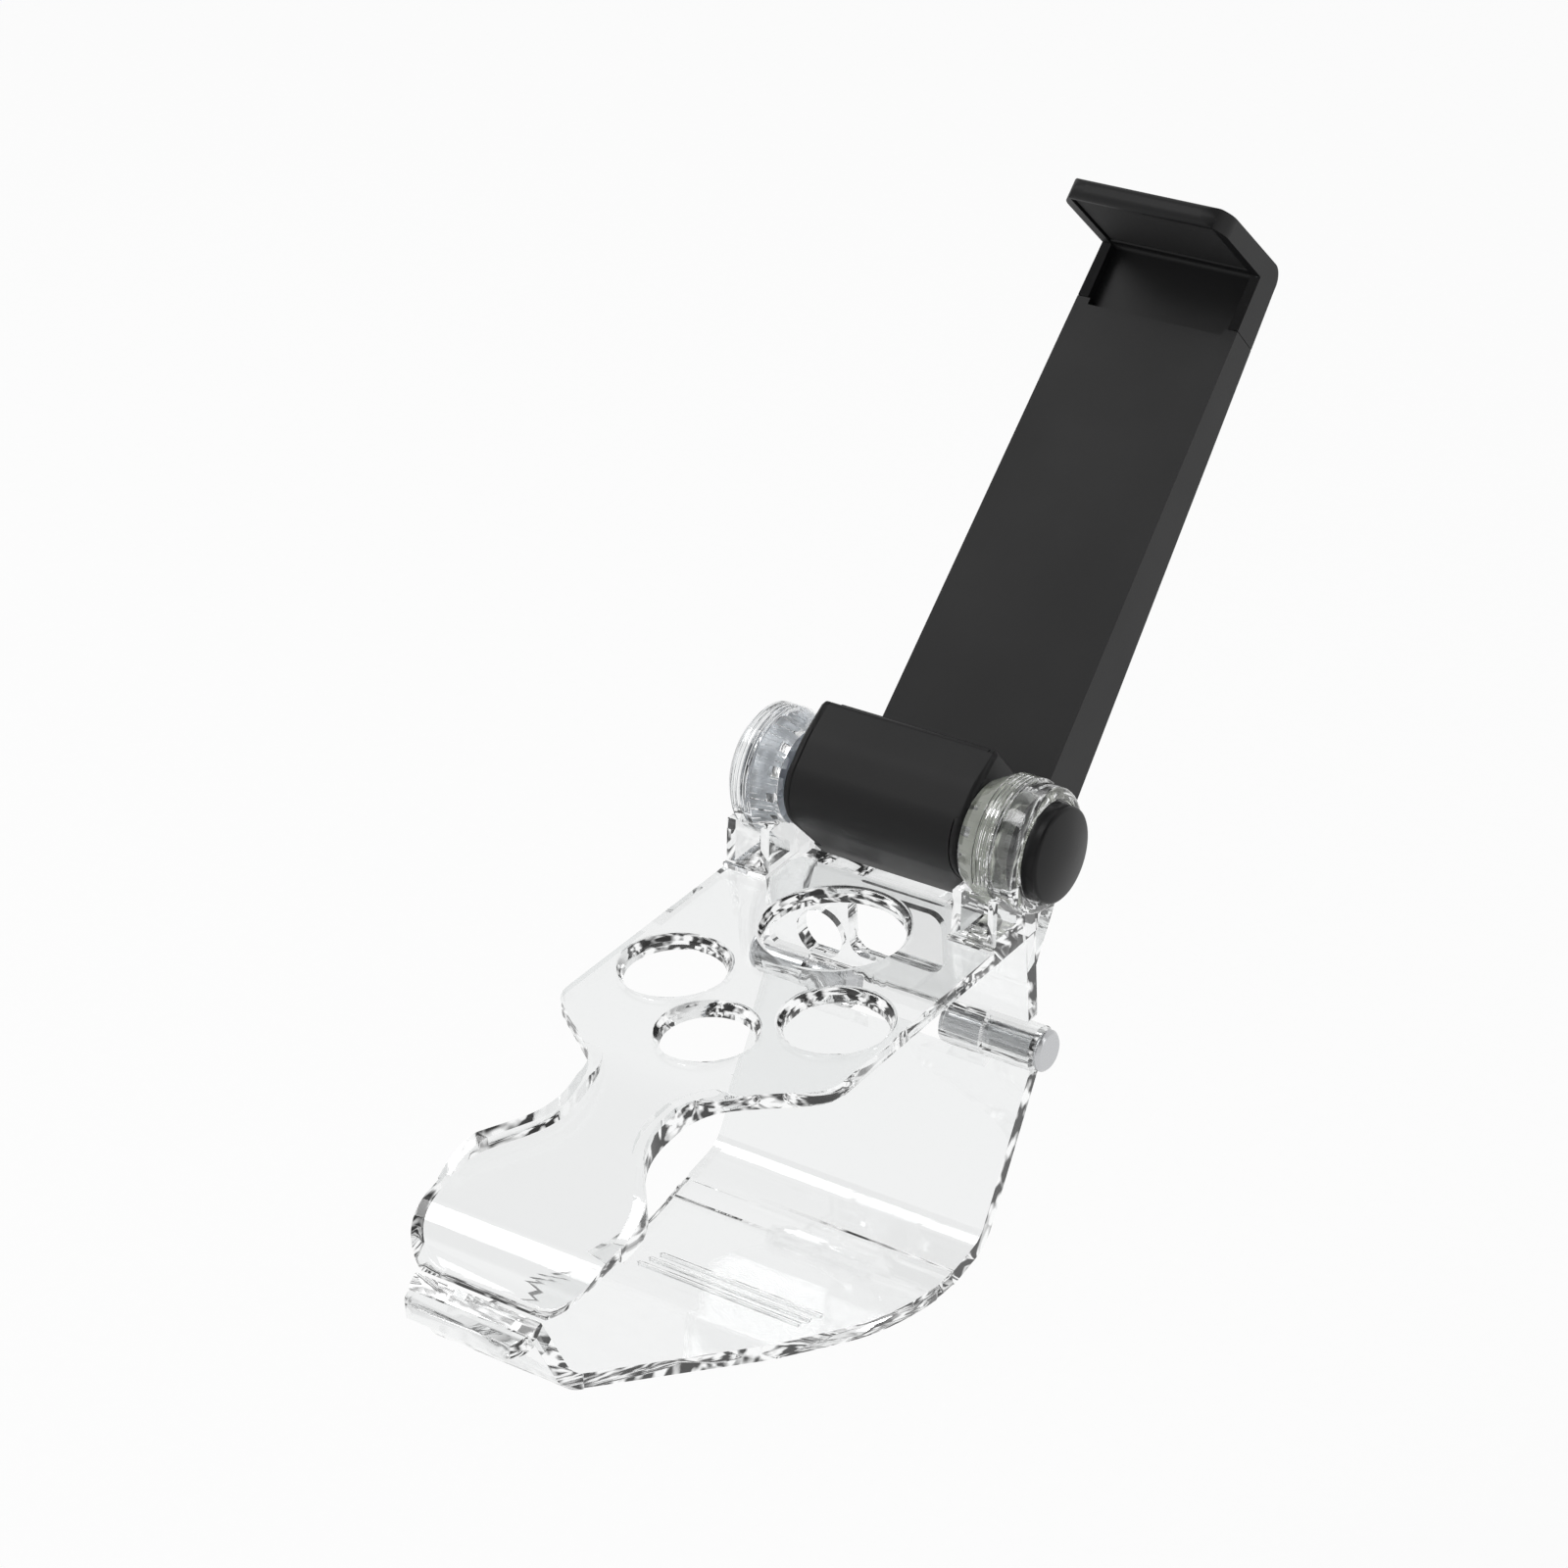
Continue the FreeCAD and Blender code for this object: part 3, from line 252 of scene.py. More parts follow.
def share_width(mesh, width, from_angle):
    """Gives each edge that turns by more than the given angle its share of the rounding's width.

    The share is 1, or 0.3 in an inner corner, or less where another edge that leaves one of its ends at
    a slant has little room. The room is that edge's length square to this one, and the rounding takes 0.4
    of it at most.
    """
    share = mesh.edges.layers.float.new("bevel_weight_edge")
    turning = {edge for edge in mesh.edges if edge.calc_face_angle() > from_angle}
    for edge in turning:
        line = (edge.verts[1].co - edge.verts[0].co).normalized()
        room = width if edge.is_convex else INNER_SHARE * width
        for corner in edge.verts:
            for other in corner.link_edges:
                arm = other.other_vert(corner).co - corner.co
                out = (arm - line * arm.dot(line)).length
                slant = SLANT_FROM_ROUNDED if other in turning else SLANT_FROM_PLAIN
                if out > slant * arm.length:
                    room = min(room, ROOM_SHARE * out)
        edge[share] = room / width


def read_all(items, key, kind=float, width=1):
    """One property of every item of a mesh as an array, with one row each where it has several numbers."""
    values = np.empty(len(items) * width, kind)
    items.foreach_get(key, values)
    return values.reshape(-1, width) if width > 1 else values


def folded_faces(piece):
    """The faces of the piece that its rounding folds over themselves or turns inside out.

    A face has folded where its triangles together are larger than the area inside its outline. Each face
    that the rounding makes or moves carries the number of the face that it came from.
    """
    shown = piece.evaluated_get(bpy.context.evaluated_depsgraph_get())
    made = shown.to_mesh()
    made.calc_loop_triangles()
    source = read_all(made.attributes["source_face"].data, "value", np.int32)
    owner = read_all(made.loop_triangles, "polygon_index", np.int32)
    covered = np.bincount(owner, read_all(made.loop_triangles, "area"), len(source))
    excess = covered - read_all(made.polygons, "area")
    before = read_all(piece.data.polygons, "normal", width=3)[source]
    facing = (before * read_all(made.polygons, "normal", width=3)).sum(1)
    shown.to_mesh_clear()
    return set(source[(excess > FOLDED_AREA) | (facing < TURNED_OVER)].tolist())


def leave_folds_sharp(piece, tries=8):
    """Takes the rounding away round every folded face, until none is left or the tries are used up."""
    mesh = piece.data
    number = mesh.attributes.new("source_face", "INT", "FACE")
    number.data.foreach_set("value", np.arange(len(mesh.polygons)))
    loop_edges = read_all(mesh.loops, "edge_index", np.int32)
    for _ in range(tries):
        folded = folded_faces(piece)
        if not folded:
            break
        edges = {loop_edges[loop] for face in folded for loop in mesh.polygons[face].loop_indices}
        share = mesh.attributes["bevel_weight_edge"].data
        for edge in edges:
            share[edge].value = 0
        mesh.update_tag()
        bpy.context.view_layer.update()
    mesh.attributes.remove(mesh.attributes["source_face"])


def round_edges(piece, width, segments):
    """Adds a small rounding along the edges that have a share of its width."""
    bevel = piece.modifiers.new("rounded edges", "BEVEL")
    bevel.width = width
    bevel.segments = segments
    bevel.limit_method = "WEIGHT"
    bevel.use_clamp_overlap = False
    bevel.harden_normals = False
    leave_folds_sharp(piece)
    weighted = piece.modifiers.new("flat faces stay flat", "WEIGHTED_NORMAL")
    weighted.keep_sharp = True
    weighted.weight = 100


def rounded_copy(node, name, width, from_angle=30, segments=2):
    """A merged copy of a frame node whose flat stretches are joined and whose edges are rounded."""
    piece = bpy.data.objects.new(name, frame["nodes"][node].data.copy())
    bpy.context.scene.collection.objects.link(piece)
    mesh = bmesh.new()
    mesh.from_mesh(piece.data)
    bmesh.ops.remove_doubles(mesh, verts=mesh.verts, dist=2e-6)
    bmesh.ops.dissolve_limit(mesh, angle_limit=math.radians(0.4), verts=mesh.verts, edges=mesh.edges)
    share_width(mesh, width * MM, math.radians(from_angle))
    mesh.to_mesh(piece.data)
    mesh.free()
    smooth(piece, 40)
    round_edges(piece, width * MM, segments)
    return piece


def dress(piece, body, slot, material, *nodes):
    """Gives a piece its material, the body that it moves with and the frame nodes that it stands for."""
    piece.data.materials.clear()
    piece.data.materials.append(material)
    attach(piece, body)
    if nodes:
        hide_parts(*nodes)
    return piece


def rounded_profile(corners, radii, steps=5):
    """A profile of (along, out) points whose corners become arcs.

    Each corner is cut back by its radius times the tangent of half its turn, and the arc's points are
    a quadratic blend between the two cuts, which is within a hair of a circle at these sizes.
    """
    corners = np.asarray(corners, float)
    made = [corners[:1]]
    blend = np.linspace(0, 1, steps)[:, None]
    for before, corner, after, radius in zip(corners[:-2], corners[1:-1], corners[2:], radii):
        back = (before - corner) / np.linalg.norm(before - corner)
        ahead = (after - corner) / np.linalg.norm(after - corner)
        half_turn = (math.pi - math.acos(float(np.clip(back @ ahead, -1, 1)))) / 2
        cut = radius * math.tan(half_turn)
        start = corner + back * cut
        end = corner + ahead * cut
        made.append((1 - blend) ** 2 * start + 2 * blend * (1 - blend) * corner + blend ** 2 * end)
    made.append(corners[-1:])
    return np.concatenate(made)


def turned(name, profile, centre, sides=72):
    """A piece turned about X: each profile point (along, out) goes round the centre line in a circle."""
    profile = np.asarray(profile, float)
    angle = np.linspace(0, 2 * math.pi, sides, endpoint=False)
    along = np.repeat(profile[:, :1], sides, axis=1)
    out = profile[:, 1:]
    rings = np.stack([along, centre[0] + out * np.cos(angle), centre[1] + out * np.sin(angle)], axis=-1)
    points, faces = capped_tube(rings)
    piece = mesh_object(name, points * MM, faces)
    point_out(piece)
    smooth(piece, 35)
    return piece


def wound_spring(radius, wire, turns, low, high, sides=10, steps_per_turn=28):
    """A helical spring along Z with closed end coils.

    The centre line is (radius cos a, radius sin a, z), where z climbs slowly over the first and last
    turn and evenly between them. Round it goes a circle of half the wire's thickness, spanned by the
    outward direction and the direction square to it and to the line.
    """
    count = int(turns * steps_per_turn) + 1
    turn = np.linspace(0, turns, count)
    angle = 2 * math.pi * turn
    climb = np.clip(turn, 0, 1) * wire
    climb = climb + np.clip(turn - turns + 1, 0, 1) * wire
    free = (high - low) - 3 * wire
    climb = climb + np.clip((turn - 1) / (turns - 2), 0, 1) * free
    centre = np.stack([radius * np.cos(angle), radius * np.sin(angle), low + wire / 2 + climb], axis=-1)
    line = np.gradient(centre, axis=0)
    line /= np.linalg.norm(line, axis=1)[:, None]
    out = np.stack([np.cos(angle), np.sin(angle), np.zeros(count)], axis=-1)
    across = np.cross(line, out)
    across /= np.linalg.norm(across, axis=1)[:, None]
    out = np.cross(across, line)
    phase = np.linspace(0, 2 * math.pi, sides, endpoint=False)[None, :, None]
    round_wire = np.cos(phase) * out[:, None, :] + np.sin(phase) * across[:, None, :]
    return capped_tube(centre[:, None, :] + wire / 2 * round_wire)


# Materials

def add_node(tree, kind, settings=None, values=None, links=None):
    """Adds a node, sets its properties and socket values, and links its inputs."""
    node = tree.nodes.new(kind)
    for key, value in (settings or {}).items():
        setattr(node, key, value)
    for key, value in (values or {}).items():
        node.inputs[key].default_value = value
    for key, source in (links or {}).items():
        tree.links.new(source, node.inputs[key])
    return node


def new_material(name):
    material = bpy.data.materials.new(name)
    material.use_nodes = True
    material.node_tree.nodes.clear()
    return material, material.node_tree


def set_output(tree, shader):
    add_node(tree, "ShaderNodeOutputMaterial", links={"Surface": shader})


def piece_coordinates(tree):
    return add_node(tree, "ShaderNodeTexCoord").outputs["Object"]


def rgba(colour):
    return (*colour[:3], 1.0)


def clear_polycarbonate():
    """Injection-moulded polycarbonate, polished tool: refracts strongly, with a faint flow wave.

    The flow wave is about 9 mm long and a few micrometres high, so it only bends the highlights.
    Light that casts shadows passes through, as it does through the real clear plastic. A ray that has
    bounced six times, or been mirrored three times inside, ends on painted light and shade: a glowing
    mottle of pale and dark spots of about 3 mm, painted in for what such edges show after the many more
    bounces of the real plastic.
    """
    material, tree = new_material("clear moulded polycarbonate")
    place = piece_coordinates(tree)
    wave = add_node(tree, "ShaderNodeTexNoise", values={"Scale": 1 / (9 * MM), "Detail": 1.0},
                    links={"Vector": place})
    bump = add_node(tree, "ShaderNodeBump", values={"Strength": 0.25, "Distance": 0.05 * MM},
                    links={"Height": wave.outputs["Fac"]})
    plastic = add_node(tree, "ShaderNodeBsdfPrincipled",
                       values={"Base Color": rgba(colours().clear), "Roughness": 0.015, "IOR": 1.585,
                               "Transmission Weight": 1.0},
                       links={"Normal": bump.outputs["Normal"]})
    passing = add_node(tree, "ShaderNodeBsdfTransparent", values={"Color": (0.93, 0.94, 0.94, 1)})
    path = add_node(tree, "ShaderNodeLightPath")
    through = add_node(tree, "ShaderNodeMath", {"operation": "MAXIMUM"})
    tree.links.new(path.outputs["Is Shadow Ray"], through.inputs[0])
    tree.links.new(path.outputs["Is Diffuse Ray"], through.inputs[1])
    mixed = add_node(tree, "ShaderNodeMixShader", links={0: through.outputs[0], 1: plastic.outputs[0],
                                                         2: passing.outputs[0]})
    # Painted light and shade: deep and thrice-mirrored rays stop here and take an emitted mottle of pale and
    # dark spots
    painted_glow_spots = add_node(tree, "ShaderNodeTexNoise", values={"Scale": 1 / (3 * MM), "Detail": 1.5},
                     links={"Vector": place})
    painted_glow_mottle = add_node(tree, "ShaderNodeMapRange",
                      values={"From Min": 0.45, "From Max": 0.58, "To Min": 0.03, "To Max": 1.0},
                      links={"Value": painted_glow_spots.outputs["Fac"]})
    painted_glow = add_node(tree, "ShaderNodeEmission", links={"Color": painted_glow_mottle.outputs["Result"]})
    late = add_node(tree, "ShaderNodeMath", {"operation": "GREATER_THAN"}, {1: 5.5},
                    {0: path.outputs["Ray Depth"]})
    mirrored = add_node(tree, "ShaderNodeMath", {"operation": "GREATER_THAN"}, {1: 2.5},
                        {0: path.outputs["Glossy Depth"]})
    painted_glow_mask = add_node(tree, "ShaderNodeMath", {"operation": "MAXIMUM"},
                    links={0: late.outputs[0], 1: mirrored.outputs[0]})
    whole = add_node(tree, "ShaderNodeMixShader",
                     links={0: painted_glow_mask.outputs[0], 1: mixed.outputs[0], 2: painted_glow.outputs[0]})
    set_output(tree, whole.outputs[0])
    return material


def black_abs():
    """ABS moulded in a spark-eroded tool: a matt grain of about 0.3 mm, drawn coarser than the real one."""
    material, tree = new_material("black textured abs")
    place = piece_coordinates(tree)
    grain = add_node(tree, "ShaderNodeTexNoise", values={"Scale": 1 / (0.3 * MM), "Detail": 3.0},
                     links={"Vector": place})
    cloud = add_node(tree, "ShaderNodeTexNoise", values={"Scale": 1 / (14 * MM), "Detail": 3.0},
                     links={"Vector": place})
    rough = add_node(tree, "ShaderNodeMapRange", values={"To Min": 0.44, "To Max": 0.54},
                     links={"Value": cloud.outputs["Fac"]})
    bump = add_node(tree, "ShaderNodeBump", values={"Strength": 0.35, "Distance": 0.02 * MM},
                    links={"Height": grain.outputs["Fac"]})
    base = np.array(colours().black)
    tone = add_node(tree, "ShaderNodeMix", {"data_type": "RGBA"},
                    {"A": rgba(base * 0.94), "B": rgba(base * 1.06)}, {"Factor": cloud.outputs["Fac"]})
    plastic = add_node(tree, "ShaderNodeBsdfPrincipled", values={"IOR": 1.53, "Specular IOR Level": 0.24},
                       links={"Base Color": tone.outputs["Result"], "Roughness": rough.outputs["Result"],
                              "Normal": bump.outputs["Normal"]})
    set_output(tree, plastic.outputs[0])
    return material


def button_abs():
    """ABS with a half-gloss dome and the fine rings that a turned tool leaves, 0.25 mm apart."""
    material, tree = new_material("black half gloss abs")
    place = piece_coordinates(tree)
    centred = add_node(tree, "ShaderNodeMapping", values={"Location": (0, -TILT_AXIS[1], -TILT_AXIS[2])},
                       links={"Vector": place})
    rings = add_node(tree, "ShaderNodeTexWave", {"wave_type": "RINGS", "rings_direction": "X"},
                     {"Scale": 1 / (0.25 * MM) / (2 * math.pi), "Distortion": 0.2},
                     {"Vector": centred.outputs["Vector"]})
    bump = add_node(tree, "ShaderNodeBump", values={"Strength": 0.12, "Distance": 0.01 * MM},
                    links={"Height": rings.outputs["Fac"]})
    smear = add_node(tree, "ShaderNodeTexNoise", values={"Scale": 1 / (5 * MM), "Detail": 4.0},
                     links={"Vector": place})
    rough = add_node(tree, "ShaderNodeMapRange", values={"To Min": 0.3, "To Max": 0.42},
                     links={"Value": smear.outputs["Fac"]})
    plastic = add_node(tree, "ShaderNodeBsdfPrincipled",
                       values={"Base Color": rgba(colours().button), "IOR": 1.53,
                               "Specular IOR Level": 0.2},
                       links={"Roughness": rough.outputs["Result"], "Normal": bump.outputs["Normal"]})
    set_output(tree, plastic.outputs[0])
    return material


def natural_nylon(name, tint):
    """Natural nylon, moulded: milky, lets light into its depth, soft gloss, with a cloudy body."""
    material, tree = new_material(name)
    place = piece_coordinates(tree)
    cloud = add_node(tree, "ShaderNodeTexNoise", values={"Scale": 1 / (2.5 * MM), "Detail": 2.0},
                     links={"Vector": place})
    base = np.array(colours().ring) * np.array(hex_linear(tint))
    tone = add_node(tree, "ShaderNodeMix", {"data_type": "RGBA"},
                    {"A": rgba(base * 0.9), "B": rgba(base)}, {"Factor": cloud.outputs["Fac"]})
    plastic = add_node(tree, "ShaderNodeBsdfPrincipled",
                       values={"IOR": 1.53, "Roughness": 0.28, "Transmission Weight": 0.7},
                       links={"Base Color": tone.outputs["Result"]})
    set_output(tree, plastic.outputs[0])
    return material


def jaw_rubber():
    """Moulded rubber: nearly matt, dark, with a fine dusty grain of about 0.2 mm."""
    material, tree = new_material("moulded rubber")
    place = piece_coordinates(tree)
    grain = add_node(tree, "ShaderNodeTexNoise", values={"Scale": 1 / (0.2 * MM), "Detail": 2.0},
                     links={"Vector": place})
    bump = add_node(tree, "ShaderNodeBump", values={"Strength": 0.3, "Distance": 0.02 * MM},
                    links={"Height": grain.outputs["Fac"]})
    base = np.array(colours().rubber)
    tone = add_node(tree, "ShaderNodeMix", {"data_type": "RGBA"},
                    {"A": rgba(base * 0.85), "B": rgba(base * 1.2)}, {"Factor": grain.outputs["Fac"]})
    rubber = add_node(tree, "ShaderNodeBsdfPrincipled", values={"IOR": 1.5, "Roughness": 0.78},
                      links={"Base Color": tone.outputs["Result"], "Normal": bump.outputs["Normal"]})
    set_output(tree, rubber.outputs[0])
    return material


def drawn_steel():
    """Bright steel, drawn and tumbled: lines along X about 0.12 mm apart that spread the highlights."""
    material, tree = new_material("bright drawn steel")
    place = piece_coordinates(tree)
    stretched = add_node(tree, "ShaderNodeMapping", values={"Scale": (0.03, 1, 1)}, links={"Vector": place})
    lines = add_node(tree, "ShaderNodeTexNoise", values={"Scale": 1 / (0.12 * MM), "Detail": 2.0},
                     links={"Vector": stretched.outputs["Vector"]})
    rough = add_node(tree, "ShaderNodeMapRange", values={"To Min": 0.2, "To Max": 0.36},
                     links={"Value": lines.outputs["Fac"]})
    bump = add_node(tree, "ShaderNodeBump", values={"Strength": 0.15, "Distance": 0.01 * MM},
                    links={"Height": lines.outputs["Fac"]})
    metal = add_node(tree, "ShaderNodeBsdfPrincipled",
                     values={"Base Color": rgba(colours().steel), "Metallic": 1.0},
                     links={"Roughness": rough.outputs["Result"], "Normal": bump.outputs["Normal"]})
    set_output(tree, metal.outputs[0])
    return material


def made_once(make, *words):
    """Returns the material that a function makes, made at the first call and shared afterwards."""
    key = make.__name__ + "".join(words)
    if key not in MADE:
        MADE[key] = make(*words)
    return MADE[key]


MADE = {}


# Operators

class CLIP_OT_clear_mouldings(bpy.types.Operator):
    """Make the clear front plate and rear shell, with rounded edges"""
    bl_idname = "clip.clear_mouldings"
    bl_label = "Clear plate and shell"

    def execute(self, context):
        clear = made_once(clear_polycarbonate)
        plate = rounded_copy("front_plate", "clear_front_plate", sizes().moulded_edge)
        dress(plate, "clip", "clear_polycarbonate", clear, "front_plate")
        shell = rounded_copy("rear_shell", "clear_rear_shell", sizes().moulded_edge)
        dress(shell, "shell", "clear_polycarbonate", clear, "rear_shell")
        return {"FINISHED"}


class CLIP_OT_ratchet(bpy.types.Operator):
    """Make the slotted rings, the lock gear and the drag bush"""
    bl_idname = "clip.ratchet"
    bl_label = "Rings, gear and bush"

    def execute(self, context):
        edge = sizes().small_edge
        cool = made_once(natural_nylon, "cool natural nylon", "#f6f8fd")
        warm = made_once(natural_nylon, "warm natural nylon", "#e0e1d4")
        for node, body, material in (
                ("left_ratchet_ring", "clip", cool),
                ("right_ratchet_ring", "clip", warm),
                ("lock_gear", "button", warm),
                ("left_drag_washer", "holder", cool)):
            dress(rounded_copy(node, "nylon_" + node, edge), body, "frosted_nylon", material, node)
        return {"FINISHED"}


class CLIP_OT_holder(bpy.types.Operator):
    """Make the black holder, its back cover and its barrel caps"""
    bl_idname = "clip.holder"
    bl_label = "Holder"

    def execute(self, context):
        for node in ("holder_frame", "arm_back_cover", "left_barrel_cap", "right_barrel_cap"):
            piece = rounded_copy(node, "black_" + node, sizes().black_edge)
            dress(piece, "holder", "black_abs", made_once(black_abs), node)
        return {"FINISHED"}


class CLIP_OT_jaw(bpy.types.Operator):
    """Make the sliding upper jaw"""
    bl_idname = "clip.jaw"
    bl_label = "Upper jaw"

    def execute(self, context):
        piece = rounded_copy("upper_jaw", "black_upper_jaw", sizes().jaw_edge, segments=3)
        dress(piece, "jaw", "black_abs", made_once(black_abs), "upper_jaw")
        return {"FINISHED"}


class CLIP_OT_pads(bpy.types.Operator):
    """Make the two smooth rubber pads of the jaws"""
    bl_idname = "clip.pads"
    bl_label = "Jaw pads"

    def execute(self, context):
        for node, body in (("lower_jaw_pad", "holder"), ("upper_jaw_pad", "jaw")):
            piece = rounded_copy(node, "rubber_" + node, sizes().pad_edge, segments=3)
            dress(piece, body, "rubber_pad", made_once(jaw_rubber), node)
        return {"FINISHED"}


class CLIP_OT_button(bpy.types.Operator):
    """Make the domed push button, bare on its face"""
    bl_idname = "clip.button"
    bl_label = "Push button"

    def execute(self, context):
        low, high = (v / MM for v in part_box("push_button"))
        radius = (high[1] - low[1]) / 2
        dome = sizes().button_dome
        rim = high[0] - dome
        ball = (radius ** 2 + dome ** 2) / (2 * dome)
        lean = np.linspace(math.asin((radius - 0.45) / ball), 0.002, 24)
        face = np.stack([high[0] - ball + ball * np.cos(lean), ball * np.sin(lean)], axis=-1)
        corners = [(low[0], 0.4 * radius), (low[0], radius), (rim, radius), face[0]]
        side = rounded_profile(corners, (0.3, 0.5))
        profile = np.concatenate([side, face[1:]])
        piece = turned("domed_push_button", profile, TILT_AXIS[1:] / MM, 96)
        dress(piece, "button", "black_abs", made_once(button_abs), "push_button")
        return {"FINISHED"}


class CLIP_OT_springs(bpy.types.Operator):
    """Wind the two jaw springs and the button spring"""
    bl_idname = "clip.springs"
    bl_label = "Springs"

    def execute(self, context):
        steel = made_once(drawn_steel)
        wire = sizes().spring_wire
        low, high = (v / MM for v in upright_box("jaw_springs"))
        reach = JAW_SPRING_OUT_R
        for side, x in (("left", low[0] + reach), ("right", high[0] - reach)):
            points, faces = wound_spring(reach - wire / 2, wire, JAW_SPRING_TURNS, low[2], high[2])
            points = points + (x, (low[1] + high[1]) / 2, 0)
            piece = mesh_object(side + "_jaw_spring", leaned(points * MM), faces)
            point_out(piece)
            smooth(piece, 60)
            piece.data.materials.append(steel)
            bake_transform(piece)
            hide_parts("jaw_springs")
        low, high = (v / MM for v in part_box("button_spring"))
        wire = BUTTON_SPRING_WIRE
        points, faces = wound_spring((high[1] - low[1] - wire) / 2, wire, BUTTON_SPRING_TURNS, low[0], high[0])
        points = points[:, [2, 0, 1]] + (0, TILT_AXIS[1] / MM, TILT_AXIS[2] / MM)
        piece = mesh_object("button_return_spring", points * MM, faces)
        point_out(piece)
        smooth(piece, 60)
        piece.data.materials.append(steel)
        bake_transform(piece)
        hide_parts("button_spring")
        return {"FINISHED"}


class CLIP_OT_steel_parts(bpy.types.Operator):
    """Make the two hinge pins, the screws, the springs' pin and the lock shaft"""
    bl_idname = "clip.steel_parts"
    bl_label = "Pins, screws and shaft"

    def execute(self, context):
        edge = sizes().small_edge
        steel = made_once(drawn_steel)
        for node, body in (("shell_hinge_pin", "clip"), ("cover_screws", "holder"),
                           ("spring_anchor_pin", "holder"), ("left_pivot_screw", "holder"),
                           ("lock_shaft", "button")):
            dress(rounded_copy(node, "steel_" + node, edge), body, "steel", steel, node)
        return {"FINISHED"}


# Stage

def studio_world():
    """Plain white to the eye; a studio to mirrors and glass.

    The studio is bright behind the object and just above the horizon. High on the camera's side it is
    dim, with broad bright panels where a slow noise over the direction of view passes its middle.
    """
    world = bpy.data.worlds.new("pale studio")
    world.use_nodes = True
    tree = world.node_tree
    tree.nodes.clear()
    direction = add_node(tree, "ShaderNodeTexCoord").outputs["Generated"]
    parts = add_node(tree, "ShaderNodeSeparateXYZ", links={"Vector": direction})
    noise = add_node(tree, "ShaderNodeTexNoise", values={"Scale": 1.9, "Detail": 0.0},
                     links={"Vector": direction})
    panels = add_node(tree, "ShaderNodeMapRange",
                      values={"From Min": 0.5, "From Max": 0.58, "To Min": 0.25, "To Max": 0.9},
                      links={"Value": noise.outputs["Fac"]})
    height = add_node(tree, "ShaderNodeMapRange", values={"From Min": 0.1, "From Max": 0.35},
                      links={"Value": parts.outputs["Z"]})
    front = add_node(tree, "ShaderNodeMapRange", values={"From Min": 0.6, "From Max": 0.2},
                     links={"Value": parts.outputs["Y"]})
    share = add_node(tree, "ShaderNodeMath", {"operation": "MULTIPLY"}, links={0: height.outputs["Result"]})
    tree.links.new(front.outputs["Result"], share.inputs[1])
    room = add_node(tree, "ShaderNodeMix", {"data_type": "FLOAT"}, {"A": 0.85},
                    {"Factor": share.outputs[0], "B": panels.outputs["Result"]})
    path = add_node(tree, "ShaderNodeLightPath")
    mix = add_node(tree, "ShaderNodeMix", {"data_type": "RGBA"}, {"B": (1, 1, 1, 1)},
                   {"Factor": path.outputs["Is Camera Ray"], "A": room.outputs["Result"]})
    background = add_node(tree, "ShaderNodeBackground", values={"Strength": 1.0},
                          links={"Color": mix.outputs["Result"]})
    add_node(tree, "ShaderNodeOutputWorld", links={"Surface": background.outputs[0]})
    return world


def floor_paper():
    """White seamless paper that shows at full white to the eye, in mirrors and through glass, and keeps
    a share of the shadow that falls on it."""
    material, tree = new_material("white seamless paper")
    fibre = add_node(tree, "ShaderNodeTexNoise", values={"Scale": 1 / (2 * MM), "Detail": 2.0},
                     links={"Vector": piece_coordinates(tree)})
    tone = np.array(colours().floor)
    shade = add_node(tree, "ShaderNodeMix", {"data_type": "RGBA"},
                     {"A": rgba(tone * 0.99), "B": rgba(tone)}, {"Factor": fibre.outputs["Fac"]})
    paper = add_node(tree, "ShaderNodeBsdfDiffuse", links={"Color": shade.outputs["Result"]})
    glow = add_node(tree, "ShaderNodeEmission", values={"Strength": 1.0},
                    links={"Color": shade.outputs["Result"]})
    path = add_node(tree, "ShaderNodeLightPath")
    seen = add_node(tree, "ShaderNodeMath", {"operation": "MAXIMUM"})
    tree.links.new(path.outputs["Is Camera Ray"], seen.inputs[0])
    tree.links.new(path.outputs["Is Glossy Ray"], seen.inputs[1])
    reached = add_node(tree, "ShaderNodeMath", {"operation": "MAXIMUM"}, links={0: seen.outputs[0]})
    tree.links.new(path.outputs["Is Transmission Ray"], reached.inputs[1])
    share = add_node(tree, "ShaderNodeMath", {"operation": "MULTIPLY"}, {1: 0.9}, {0: reached.outputs[0]})
    mixed = add_node(tree, "ShaderNodeMixShader",
                     links={0: share.outputs[0], 1: paper.outputs[0], 2: glow.outputs[0]})
    set_output(tree, mixed.outputs[0])
    return material


def soft_box(name, place, aim, width, height, power):
    """A square lamp that faces the point it is aimed at."""
    lamp = bpy.data.lights.new(name, "AREA")
    lamp.shape = "RECTANGLE"
    lamp.size = width
    lamp.size_y = height
    lamp.energy = power
    box = bpy.data.objects.new(name, lamp)
    box.location = place
    box.rotation_mode = "QUATERNION"
    box.rotation_quaternion = (Vector(aim) - Vector(place)).to_track_quat("-Z", "Y")
    bpy.context.scene.collection.objects.link(box)


def photo_camera():
    """The camera: turned about Z by the azimuth, raised by the elevation, and rolled about its own axis."""
    camera = bpy.data.cameras.new("photo camera")
    camera.lens = CAMERA_LENS
    camera.sensor_width = CAMERA_SENSOR
    camera.clip_start = 0.01
    camera.clip_end = 20
    holder = bpy.data.objects.new("photo camera", camera)
    turn = Matrix.Rotation(CAMERA_AZIMUTH, 4, "Z") @ Matrix.Rotation(math.pi / 2 - CAMERA_ELEVATION, 4, "X")
    holder.matrix_world = Matrix.Translation(CAMERA_PLACE) @ turn @ Matrix.Rotation(CAMERA_ROLL, 4, "Z")
    bpy.context.scene.collection.objects.link(holder)
    bpy.context.scene.camera = holder


